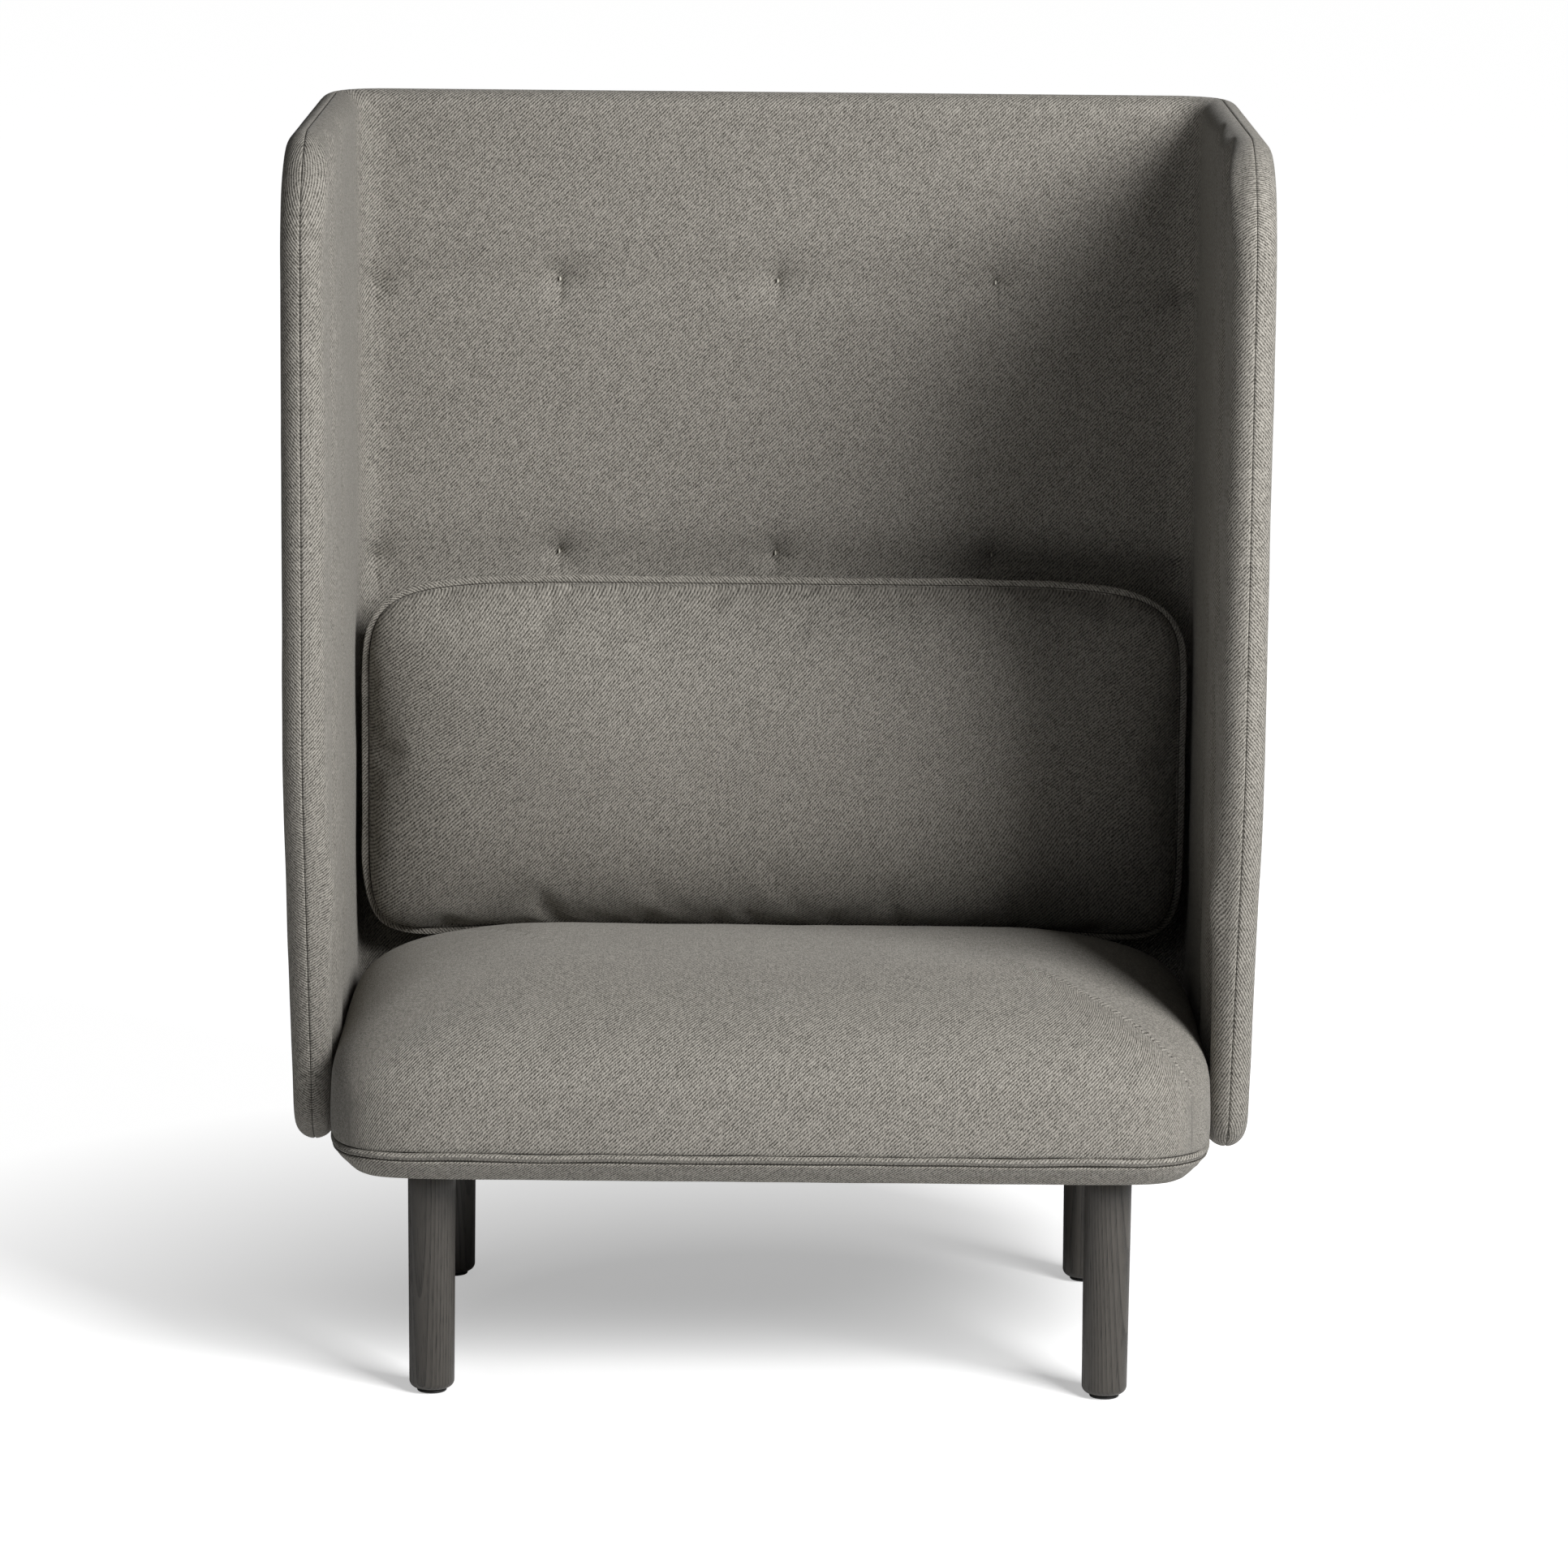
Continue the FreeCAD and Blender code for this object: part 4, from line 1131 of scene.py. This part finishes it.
    def outward(self, edge: np.ndarray) -> np.ndarray:
        """Find the outward ways along a closed outline in plan.

        Args:
            edge: Outline's points, anticlockwise.

        Returns:
            One level way of unit length a point.
        """
        along = np.roll(edge[:, :2], -1, 0) - np.roll(edge[:, :2], 1, 0)
        out = np.stack([along[:, 1], -along[:, 0]], 1)
        out /= np.linalg.norm(out, axis=1)[:, None]
        return np.column_stack([out, np.zeros(len(out))])

    def cover(self, points: np.ndarray, uv: np.ndarray, faces: list[tuple[int, ...]], border: list[int],
              out: np.ndarray, cloth: bpy.types.Material) -> None:
        """Make the cover: the dome, and the upright sides that hang from its edge.

        Args:
            points: Dome's points.
            uv: Their places on the cloth.
            faces: Faces of dome and sides.
            border: Dome's outer points.
            out: Their outward ways.
            cloth: Upholstery cloth.
        """
        edge = points[border]
        hem = self.hem_swell.along(run_along(edge[:, :2]))
        cloth_out = np.where(np.abs(out[:, :2]) > self.square_to_side, np.sign(out[:, :2]), 0)
        all_points = [points]
        all_uv = [uv]
        for fall, stand in self.side_rows:
            row = edge + out * stand
            row[:, 2] = self.side_height - fall
            row[:, 2] += hem * (fall > self.hem_start)
            all_points.append(row)
            all_uv.append(uv[border] + cloth_out * fall)
        cover = piece("seat_top_cover", np.concatenate(all_points), faces, cloth, "chair",
                      np.concatenate(all_uv), ("seat_cover", "seat_pad"))
        LOG.info("%s has %d faces", cover.name, len(cover.data.polygons))

    def piping(self, outline: np.ndarray, cloth: bpy.types.Material, thread_and_shade: bpy.types.Material) -> None:
        """Lay corded piping round the seat, a little wavy, with its seam below.

        Args:
            outline: Place and outward way of each point round the seat, in plan.
            cloth: Upholstery cloth.
            thread_and_shade: Seam's thread, dark partly as painted shade.
        """
        count = len(outline)
        run = run_along(outline[:, :2])
        wave = self.piping_swell.along(run)
        seam_height = self.welt_height - self.seam_drop
        for name, radius, stand, height, finish, nodes in (
            ("seat_piping", self.welt_radius, self.piping_stand, self.welt_height, cloth, ("seat_welt",)),
            # The thin dark cord below the piping is the seam's thread and also painted shade under the
            # piping.
            ("seat_piping_seam", self.seam_radius, self.seam_stand, seam_height, thread_and_shade, ()),
        ):
            turns = np.linspace(0, 2 * math.pi, self.piping_sides, endpoint=False)
            rows = []
            places = []
            for turn in turns:
                reach = stand - radius + radius * math.cos(turn)
                rows.append(np.column_stack([outline[:, :2] + outline[:, 2:] * reach,
                                             height + wave + radius * math.sin(turn)]))
                places.append(np.stack([run, np.full(count, radius * turn)], 1))
            faces = quads(self.piping_sides, count, closed=True, flip=True)
            last = (self.piping_sides - 1) * count
            faces += [(last + j, j, (j + 1) % count, last + (j + 1) % count) for j in range(count)]
            roll = piece(name, np.concatenate(rows), faces, finish, "chair",
                         np.concatenate(places), nodes)
            LOG.info("%s is %.2f m long", roll.name, run[-1])

    def band(self, outline: np.ndarray, cloth: bpy.types.Material) -> None:
        """Wrap the band under the piping, drawn in towards the frame and turned under it.

        Args:
            outline: Place and outward way of each point round the seat, in plan.
            cloth: Upholstery cloth.
        """
        run = run_along(outline[:, :2])
        top = self.welt_height - self.welt_radius
        fall = top - self.band_foot
        rear = np.clip((outline[:, 1] - self.rear + self.rear_ease) / self.rear_ease, 0, 1)
        rows = []
        places = []
        count = len(outline)
        slope = [(share, self.band_taper * share - self.band_hollow * math.sin(math.pi * share))
                 for share in np.linspace(0.18, 0.9, 7)]
        profile = [*self.band_lip, *slope, *self.band_hem]
        for share, inset in profile:
            inset = inset * (1 - self.rear_share * rear)[:, None] if share > self.band_lip[-1][0] else inset
            ripple = self.band_swell.along(run, share)[:, None]
            plan = outline[:, :2] - outline[:, 2:] * (inset + ripple)
            rows.append(np.column_stack([plan, np.full(count, top - fall * share)]))
            places.append(np.stack([run, np.full(count, -self.band_cloth * share)], 1))
        faces = quads(len(profile), count, closed=True, flip=True)
        band = piece("seat_lower_band", np.concatenate(rows), faces, cloth, "chair",
                     np.concatenate(places), ("seat_band",))
        LOG.info("%s has %d faces", band.name, len(band.data.polygons))


# Lumbar cushion


@dataclass
class LumbarCushion:
    """Loose feather-filled cushion with a sewn flange, which leans on the back and rests on the seat."""

    half_width: float = 0.469
    top: float = 0.831
    foot: float = 0.430
    middle_y: float = 0.2244
    front_bulge: float = 0.078
    rear_bulge: float = 0.0735
    reach: float = 0.180
    corner_power: float = 6.5
    corner_drop: float = 0.014
    sag: float = 0.020
    crown_share: float = 0.60
    crown_round: float = 0.9
    dome_share: float = 0.46
    dome_round: float = 0.7
    rear_round: float = 0.8
    cloth_slack: float = 0.12
    top_droop: float = 0.022
    droop_start: float = 0.20
    back_contact: float = 0.2986
    flange_width: float = 0.0085
    flange_half: float = 0.0014
    flange_sways: tuple[Swell, Swell] = (Swell(0.035, 0.0016, 3.0), Swell(0.11, 0.0014, 5.0))
    flange_growth: Swell = Swell(0.06, 0.0007, 9.0)
    filling_swell: Swell = Swell(0.15, 0.0016, 6.6)
    pucker: Swell = Swell(0.022, 0.0020, 1.9)
    pucker_reach: float = 0.045
    pressure: float = 3.2
    shrink: float = -0.008
    stretch: float = 22.0
    bending: float = 2.5
    frames: int = 18
    move_cap: float = 0.016

    @property
    def half_height(self) -> float:
        """Half of the cushion's height."""
        return (self.top - self.foot) / 2

    def panels(self) -> tuple[np.ndarray, list[tuple[int, ...]], np.ndarray, list[int], np.ndarray]:
        """Front and rear panels, joined along the seam.

        Returns:
            Points, faces, cloth places, seam's points in order, and each point's ring.
        """
        grids = [RolledGrid(-half, half, self.reach, self.reach, roll_steps=18, flat_step=0.011)
                 for half in (self.half_width, self.half_height)]
        (place_x, share_x), (place_z, share_z) = [grid.nodes() for grid in grids]
        flat_x, flat_z = np.meshgrid(place_x, place_z)
        roll_x, roll_z = np.meshgrid(share_x, share_z)
        roll_x, roll_z, ring = squared_roll(roll_x, roll_z, self.corner_power)
        x = flat_x + self.reach * roll_x
        z = flat_z + self.reach * roll_z
        rows, columns = x.shape
        plan = np.stack([x, z], 2).reshape(-1, 2)
        ring = ring.reshape(-1)
        border = grid_border(rows, columns)
        inner = np.setdiff1d(np.arange(len(plan)), border)
        crown = np.sqrt(np.maximum(0, 1 - ring ** 2))
        dome = (1 - (plan[:, 0] / self.half_width) ** 2) * (1 - (plan[:, 1] / self.half_height) ** 2)
        front_y = -self.front_bulge * (self.crown_share * crown ** self.crown_round
                                       + self.dome_share * np.maximum(dome, 0) ** self.dome_round)
        rear_y = self.rear_bulge * crown ** self.rear_round
        front = np.column_stack([plan[:, 0], front_y, plan[:, 1]])
        rear = np.column_stack([plan[:, 0], rear_y, plan[:, 1]])[inner]
        index = np.arange(len(plan))
        index[inner] = len(plan) + np.arange(len(inner))
        faces = quads(rows, columns)
        faces += [tuple(int(index[k]) for k in face[::-1]) for face in quads(rows, columns)]
        points = np.concatenate([front, rear])
        spread = plan * (1 + self.cloth_slack * (1 - ring[:, None]))
        uv = np.concatenate([spread, plan[inner] * np.array([-1, 1])])
        return points, faces, uv, border, np.concatenate([ring, ring[inner]])

    def settle(self, points: np.ndarray) -> np.ndarray:
        """Place the cushion, with its lower corners sunk onto the falling sides of the seat.

        Args:
            points: Points about the cushion's middle.

        Returns:
            Points in the chair's frame.
        """
        settled = points.copy()
        out = np.clip((np.abs(points[:, 0]) - self.droop_start) / (self.half_width - self.droop_start), 0, 1)
        low = np.clip(-points[:, 2] / self.half_height, 0, 1)
        high = np.clip(points[:, 2] / self.half_height, 0, 1)
        settled[:, 2] -= self.corner_drop * out ** 2 * low
        settled[:, 2] -= self.top_droop * out ** 3 * high
        belly = np.clip(-points[:, 1] / self.front_bulge, 0, 1)
        settled[:, 2] -= self.sag * np.sin(math.pi * np.clip(low * 1.25 - 0.25, 0, 1) * 0.5) * belly
        settled[:, 2] += (self.top + self.foot) / 2
        settled[:, 1] += self.middle_y
        settled[:, 1] = np.minimum(settled[:, 1], self.back_contact)
        return settled

    def inflate(self, item: bpy.types.Object, seam: list[int]) -> None:
        """Fill the cushion: its cloth is a little larger than its seam, so it puckers there.

        Args:
            item: Cushion cover.
            seam: Points that the seam holds.
        """
        start = points_of(item.data)
        group = item.vertex_groups.new(name="seam")
        group.add(seam, 1.0, "REPLACE")
        cloth = item.modifiers.new("fill", "CLOTH")
        filling = {
            "quality": 6, "mass": 0.3, "use_pressure": True, "uniform_pressure_force": self.pressure,
            "shrink_min": self.shrink, "shrink_max": self.shrink, "tension_stiffness": self.stretch,
            "compression_stiffness": self.stretch, "bending_stiffness": self.bending,
            "vertex_group_mass": "seam", "pin_stiffness": 1.0,
        }
        for key, value in filling.items():
            setattr(cloth.settings, key, value)
        cloth.settings.effector_weights.gravity = 0
        cloth.collision_settings.use_collision = False
        cloth.point_cache.frame_start = 1
        cloth.point_cache.frame_end = self.frames
        scene = bpy.context.scene
        for number in range(1, self.frames + 1):
            scene.frame_set(number)
            bpy.context.view_layer.update()
        shown = item.evaluated_get(bpy.context.evaluated_depsgraph_get())
        moved = points_of(shown.to_mesh()) - start
        shown.to_mesh_clear()
        length = np.linalg.norm(moved, axis=1)
        moved *= np.minimum(1, self.move_cap / np.maximum(length, 1e-9))[:, None]
        item.modifiers.remove(cloth)
        item.vertex_groups.remove(group)
        scene.frame_set(1)
        move_points(item.data, start + moved)

    def dress(self, cloth: bpy.types.Material, thread_and_shade: bpy.types.Material) -> None:
        """Build the cushion and its flange.

        Args:
            cloth: Upholstery cloth.
            thread_and_shade: Seam's thread, dark partly as painted shade.
        """
        points, faces, uv, seam, ring = self.panels()
        cover = piece("lumbar_cushion_cover", points, faces, cloth, "lumbar_cushion", uv,
                      ("cushion_cover", "cushion_fill"))
        self.inflate(cover, seam)
        filled = points_of(cover.data)
        near_seam = np.exp(-((1 - ring) / self.pucker_reach))
        pucker = self.pucker.over(filled * np.array([1.0, 0.3, 1.0])) * near_seam
        filled[:, 1] -= pucker * np.sign(-filled[:, 1] + 1e-9)
        filled[:, 1] -= self.filling_swell.over(filled) * (1 - ring ** 2)
        move_points(cover.data, self.settle(filled))
        smooth = cover.modifiers.new("smooth", "SUBSURF")
        smooth.levels = 1
        smooth.render_levels = 1
        LOG.info("%s has %d faces", cover.name, len(faces))
        self.flange(points[seam], cloth, thread_and_shade)

    def flange(self, seam: np.ndarray, cloth: bpy.types.Material, thread_and_shade: bpy.types.Material) -> None:
        """Sew the doubled edge of cloth outside the seam, a little wavy, with its stitched line.

        Args:
            seam: Seam's points in order, about the cushion's middle.
            cloth: Upholstery cloth.
            thread_and_shade: Seam's thread, dark partly as painted shade.
        """
        along = np.roll(seam, -1, 0) - np.roll(seam, 1, 0)
        out = np.stack([along[:, 2], along[:, 0] * 0, -along[:, 0]], 1)
        out /= np.linalg.norm(out, axis=1)[:, None]
        run = run_along(seam)
        close, wide = self.flange_sways
        sway = close.along(run) + wide.along(run)
        grow = self.flange_growth.along(run)
        section = [(-0.004, -0.0012), (0.0, -0.0008), (0.0012, -self.flange_half),
                   (0.004, -self.flange_half * 1.1), (0.0068, -self.flange_half),
                   (0.0082, -self.flange_half * 0.55), (0.0086, 0.0)]
        section += [(reach, -depth) for reach, depth in section[-2::-1]]
        rows = []
        places = []
        count = len(seam)
        for reach, depth in section:
            share = max(0.0, reach) / self.flange_width
            row = seam + out * (reach + grow * share)[:, None]
            row[:, 1] += depth + sway * share
            rows.append(row)
            places.append(np.stack([run, np.full(count, reach + depth)], 1))
        faces = quads(len(section), count, closed=True, flip=True)
        points = self.settle(np.concatenate(rows))
        edge = piece("lumbar_cushion_flange", points, faces, cloth, "lumbar_cushion",
                     np.concatenate(places), ("cushion_flange",))
        # The flange's row at the seam takes the dark thread, which is painted shade along the seam.
        stitch(edge, thread_and_shade, count, 2 * count)
        LOG.info("%s is %.2f m round", edge.name, run[-1])


# Legs, glides and fixings


@dataclass
class TurnedLeg:
    """Turned ash leg with a soft foot, and the black glide under it."""

    corner: Corner
    spacing: tuple[float, float] = (0.744, 0.500)
    top: float = 0.255
    foot: float = 0.0045
    top_radius: float = 0.0264
    foot_radius: float = 0.0250
    foot_round: float = 0.0085
    top_edge: tuple[float, float] = (0.0006, 0.0008)
    bore_radius: float = 0.006
    glide_profile: tuple[tuple[float, float], ...] = (
        (0.004, 0.0), (0.0146, 0.0), (0.0158, 0.0004), (0.0164, 0.0012), (0.0165, 0.0022),
        (0.0161, 0.0032), (0.0151, 0.0038), (0.0138, 0.0040), (0.0046, 0.0040))

    @property
    def centre(self) -> tuple[float, float]:
        """Leg's axis in plan."""
        side, end = self.corner.value
        return side * self.spacing[0] / 2, end * self.spacing[1] / 2

    def dress(self, ash: bpy.types.Material, nylon: bpy.types.Material) -> None:
        """Build the leg and its glide.

        Args:
            ash: Leg's stained ash.
            nylon: Glide's nylon.
        """
        edge_in, edge_down = self.top_edge
        profile = [(self.bore_radius, self.foot)]
        for turn in np.linspace(0, math.pi / 2, 9):
            profile.append((self.foot_radius - self.foot_round * (1 - math.sin(turn)),
                            self.foot + self.foot_round * (1 - math.cos(turn))))
        low = self.foot + self.foot_round
        for share in np.linspace(0.1, 1.0, 10):
            radius = self.foot_radius + (self.top_radius - self.foot_radius) * share
            profile.append((radius, low + (self.top - low - edge_down) * share))
        profile += [(self.top_radius - edge_in, self.top), (self.bore_radius, self.top)]
        points, faces, uv = lathe(profile, self.centre)
        leg = piece(f"turned_leg_{self.corner.tag}", points, faces, ash, "chair", uv,
                    (f"leg_{self.corner.tag}",))
        LOG.info("%s stands %.0f mm high", leg.name, (self.top - self.foot) * 1000)
        points, faces, uv = lathe(self.glide_profile, self.centre, 48)
        glide = piece(f"nylon_glide_{self.corner.tag}", points, faces, nylon, f"glide_{self.corner.tag}",
                      uv, (f"glide_foot_{self.corner.tag}",))
        LOG.info("%s carries the %s leg", glide.name, self.corner.tag)


@dataclass
class UnderFixings:
    """Screws that hold the leg plates, and staples that hold the cloth under the seat."""

    plate_foot: float = 0.255
    screw_offset: float = 0.0225
    head_radius: float = 0.0042
    head_height: float = 0.0017
    head_rings: tuple[tuple[float, float], ...] = (
        (1.0, 0.0), (1.0, 0.25), (0.93, 0.6), (0.75, 0.9), (0.5, 1.0), (0.25, 1.0), (0.08, 1.0))
    head_sides: int = 24
    staple_pitch: float = 0.055
    staple_reach: float = 0.0045
    staple_turn: float = 0.25
    wire_radius: float = 0.0004
    wire_sides: int = 6
    wire_path: tuple[tuple[float, float], ...] = (
        (-1.0, -0.0006), (-0.92, 0.0002), (-0.8, 0.0006), (0.8, 0.0006), (0.92, 0.0002), (1.0, -0.0006))
    cloth_foot: float = 0.2568
    frame_half_width: float = 0.446
    frame_front: float = -0.303
    frame_rear: float = 0.288

    def screws(self, zinc: bpy.types.Material) -> None:
        """Build the domed, cross-slotted heads of the plate screws.

        Args:
            zinc: Zinc plated steel.
        """
        places = []
        for corner in Corner:
            x, y = TurnedLeg(corner).centre
            places += [(x + step_x * self.screw_offset, y + step_y * self.screw_offset)
                       for step_x in (-1, 1) for step_y in (-1, 1)]
        points = []
        faces = []
        for place in places:
            self.one_screw(place, points, faces)
        screws = piece("leg_plate_screws", np.array(points), faces, zinc, "chair")
        LOG.info("%s has %d heads", screws.name, len(places))

    def one_screw(self, place: tuple[float, float], points: list[tuple[float, float, float]],
                  faces: list[tuple[int, ...]]) -> None:
        """Add one head: rings of a dome whose middle dips along a cross.

        Args:
            place: Head's middle in plan.
            points: Points so far, to which the head's are added.
            faces: Faces so far, to which the head's are added.
        """
        first = len(points)
        for share, rise in self.head_rings:
            for k in range(self.head_sides):
                turn = 2 * math.pi * k / self.head_sides
                in_cross = share < 0.6 and abs(math.sin(2 * turn)) < 0.45
                depth = 0.6 if in_cross or share < 0.2 else 0.0
                points.append((place[0] + self.head_radius * share * math.cos(turn),
                               place[1] + self.head_radius * share * math.sin(turn),
                               self.plate_foot - self.head_height * (rise - depth)))
        faces += quads(len(self.head_rings), self.head_sides, first, closed=True, flip=True)
        last = first + (len(self.head_rings) - 1) * self.head_sides
        faces.append(tuple(range(last, last + self.head_sides))[::-1])

    def staples(self, zinc: bpy.types.Material) -> None:
        """Build a row of wire staples round the edge of the bottom cloth.

        Args:
            zinc: Zinc plated steel.
        """
        places = []
        for y in (self.frame_front, self.frame_rear):
            places += [(x, y, self.staple_turn) for x in np.arange(-0.36, 0.37, self.staple_pitch)]
        for x in (-self.frame_half_width, self.frame_half_width):
            places += [(x, y, math.pi / 2 + self.staple_turn)
                       for y in np.arange(-0.22, 0.22, self.staple_pitch)]
        points = []
        faces = []
        for x, y, turn in places:
            first = len(points)
            way = (math.cos(turn), math.sin(turn))
            for share, fall in self.wire_path:
                for k in range(self.wire_sides):
                    angle = 2 * math.pi / self.wire_sides * k
                    off = self.wire_radius * math.cos(angle)
                    points.append((x + way[0] * share * self.staple_reach - way[1] * off,
                                   y + way[1] * share * self.staple_reach + way[0] * off,
                                   self.cloth_foot - fall + self.wire_radius * math.sin(angle)))
            faces += quads(len(self.wire_path), self.wire_sides, first, closed=True)
        staples = piece("bottom_cloth_staples", np.array(points), faces, zinc, "chair")
        LOG.info("%s has %d staples", staples.name, len(places))


@dataclass
class HiddenParts:
    """Plywood, frame, straps and fittings that keep their CAD shape and take a finish."""

    finishes: tuple[tuple[object, tuple[str, ...]], ...] = (
        (SawnTimber("birch_ply", (0, 0, 1), pale=(0.72, 0.58, 0.40), dark=(0.58, 0.43, 0.27)),
         ("back_plywood",)),
        (SawnTimber("beech_along_x", (1, 0, 0)),
         ("rail_front", "rail_rear", "seat_ledger_rear", "corner_blocks")),
        (SawnTimber("beech_along_y", (0, 1, 0)),
         ("rail_left", "rail_right", "rail_middle", "seat_ledger_left", "seat_ledger_right")),
        (WovenStrap("webbing_across_weave", (1, 0, 0)), ("webbing_across",)),
        (WovenStrap("webbing_along_weave", (0, 1, 0)), ("webbing_along",)),
        (WovenStrap("tuft_tape", (0, 1, 0), dark=(0.42, 0.40, 0.34), light=(0.72, 0.70, 0.62), rib=0.0012),
         ("tuft_ties",)),
        (Speckled("bottom_cloth_felt", dark=(0.012, 0.012, 0.012), light=(0.045, 0.045, 0.044), grain=900.0,
                  roughness=0.92), ("bottom_cloth",)),
        (Speckled("toggle_nylon", dark=(0.014, 0.014, 0.014), light=(0.03, 0.03, 0.03), grain=1300.0,
                  roughness=0.5, relief=0.0001), ("tuft_toggles",)),
    )
    zinc_plate: Speckled = Speckled("zinc_plate", dark=(0.48, 0.48, 0.47), light=(0.68, 0.68, 0.66),
                                    grain=700.0, roughness=0.38, relief=0.0001, metallic=1.0)

    def dress(self) -> bpy.types.Material:
        """Give each node its finish.

        Returns:
            The steel, for the small fixings.
        """
        for finish, nodes in self.finishes:
            self.coat(finish.make(), nodes)
        steel = self.zinc_plate.make()
        self.coat(steel, ("leg_plates", "leg_bolts", *(f"glide_stem_{corner.tag}" for corner in Corner)))
        return steel

    def coat(self, material: bpy.types.Material, nodes: tuple[str, ...]) -> None:
        """Put one material on some nodes.

        Args:
            material: Their finish.
            nodes: CAD nodes.
        """
        for name in nodes:
            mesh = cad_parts[name].data
            mesh.materials.clear()
            mesh.materials.append(material)
            LOG.info("%s has its finish", name)


# Studio


@dataclass
class Studio:
    """Camera at the photograph's viewpoint, one large soft lamp, a fill and a pale floor."""

    camera_place: tuple[float, float, float] = (-0.0035, -7.3236, 2.0296)
    yaw: float = 0.0021
    pitch: float = 0.1875
    roll: float = 0.0095
    lens: float = 151.96
    key_place: tuple[float, float, float] = (2.8, -3.3, 3.2)
    key_power: float = 355.0
    key_size: float = 2.2
    fill_place: tuple[float, float, float] = (-3.2, -4.2, 2.2)
    fill_share: float = 0.03
    fill_size: float = 2.6
    aim: tuple[float, float, float] = (0.0, 0.0, 0.75)
    ambient: float = 0.06
    floor_size: float = 60.0
    floor_nodes: int = 9
    floor_drop: float = 0.0002

    def camera(self) -> None:
        """Place the camera."""
        sin_yaw, cos_yaw = math.sin(self.yaw), math.cos(self.yaw)
        sin_pitch, cos_pitch = math.sin(self.pitch), math.cos(self.pitch)
        ahead = Vector((sin_yaw * cos_pitch, cos_yaw * cos_pitch, -sin_pitch))
        right = Vector((cos_yaw, -sin_yaw, 0.0))
        up = Vector((sin_yaw * sin_pitch, cos_yaw * sin_pitch, cos_pitch))
        cos_roll, sin_roll = math.cos(self.roll), math.sin(self.roll)
        across = right * cos_roll + up * sin_roll
        upward = up * cos_roll - right * sin_roll
        data = bpy.data.cameras.new("studio_camera")
        data.lens = self.lens
        data.sensor_width = 36.0
        data.clip_end = 200.0
        camera = bpy.data.objects.new("studio_camera", data)
        turn = Matrix((across, upward, -ahead)).transposed().to_4x4()
        camera.matrix_world = Matrix.Translation(self.camera_place) @ turn
        bpy.context.scene.collection.objects.link(camera)
        bpy.context.scene.camera = camera

    def lamp(self, name: str, place: tuple[float, float, float], power: float, size: float) -> None:
        """Hang one square soft lamp that looks at the seat.

        Args:
            name: Lamp's name.
            place: Where it hangs.
            power: Its power in watts.
            size: Side of its square.
        """
        data = bpy.data.lights.new(name, "AREA")
        data.energy = power
        data.size = size
        item = bpy.data.objects.new(name, data)
        item.location = place
        aim = Vector(self.aim) - Vector(place)
        item.rotation_mode = "QUATERNION"
        item.rotation_quaternion = aim.to_track_quat("-Z", "Y")
        bpy.context.scene.collection.objects.link(item)

    def surroundings(self) -> None:
        """Light the room evenly, with a white backdrop that only the camera sees."""
        world = bpy.data.worlds.new("studio_world")
        world.use_nodes = True
        bpy.context.scene.world = world
        tree = world.node_tree
        background = tree.nodes["Background"]
        background.inputs["Color"].default_value = (1, 1, 1, 1)
        path = tree.nodes.new("ShaderNodeLightPath")
        strength = tree.nodes.new("ShaderNodeMapRange")
        strength.inputs["To Min"].default_value = self.ambient
        strength.inputs["To Max"].default_value = 1.0
        tree.links.new(path.outputs["Is Camera Ray"], strength.inputs["Value"])
        tree.links.new(strength.outputs["Result"], background.inputs["Strength"])

    def floor(self) -> None:
        """Lay the floor as a divided sheet."""
        half = self.floor_size / 2
        spots = np.linspace(-half, half, self.floor_nodes)
        x, y = np.meshgrid(spots, spots)
        mesh = bpy.data.meshes.new("studio_floor")
        points = np.stack([x.ravel(), y.ravel(), np.full(x.size, -self.floor_drop)], 1)
        mesh.from_pydata([tuple(point) for point in points], [], quads(self.floor_nodes, self.floor_nodes))
        mesh.materials.append(PaleFloor().make())
        item = bpy.data.objects.new("studio_floor", mesh)
        bpy.context.scene.collection.objects.link(item)

    def build(self) -> None:
        """Set up the whole studio."""
        bpy.context.scene.view_settings.view_transform = "Standard"
        self.camera()
        self.lamp("key_lamp", self.key_place, self.key_power, self.key_size)
        self.lamp("fill_lamp", self.fill_place, self.key_power * self.fill_share, self.fill_size)
        self.surroundings()
        self.floor()


def main() -> None:
    """Dress the chair and light it."""
    logging.basicConfig(level=logging.INFO, format="%(message)s")
    cloth = MelangeTwill().make()
    thread_and_shade = SewnLineWithPaintedShade().make()
    nylon = Speckled("glide_nylon", dark=(0.012, 0.012, 0.012), light=(0.028, 0.028, 0.028), grain=1200.0,
                     roughness=0.5, relief=0.0001).make()
    UpholsteredShell().dress(cloth, thread_and_shade)
    DomedSeat().dress(cloth, thread_and_shade)
    LumbarCushion().dress(cloth, thread_and_shade)
    hearts = {Corner.FRONT_LEFT: (0.400, 0.310, 0.0), Corner.FRONT_RIGHT: (-0.290, 0.210, 0.0),
              Corner.REAR_LEFT: (0.330, -0.210, 0.0), Corner.REAR_RIGHT: (-0.440, -0.300, 0.0)}
    for corner in Corner:
        ash = StainedAsh(f"stained_ash_{corner.tag}", hearts[corner])
        TurnedLeg(corner).dress(ash.make(), nylon)
    steel = HiddenParts().dress()
    fixings = UnderFixings()
    fixings.screws(steel)
    fixings.staples(steel)
    Studio().build()


if __name__ == "__main__":
    main()
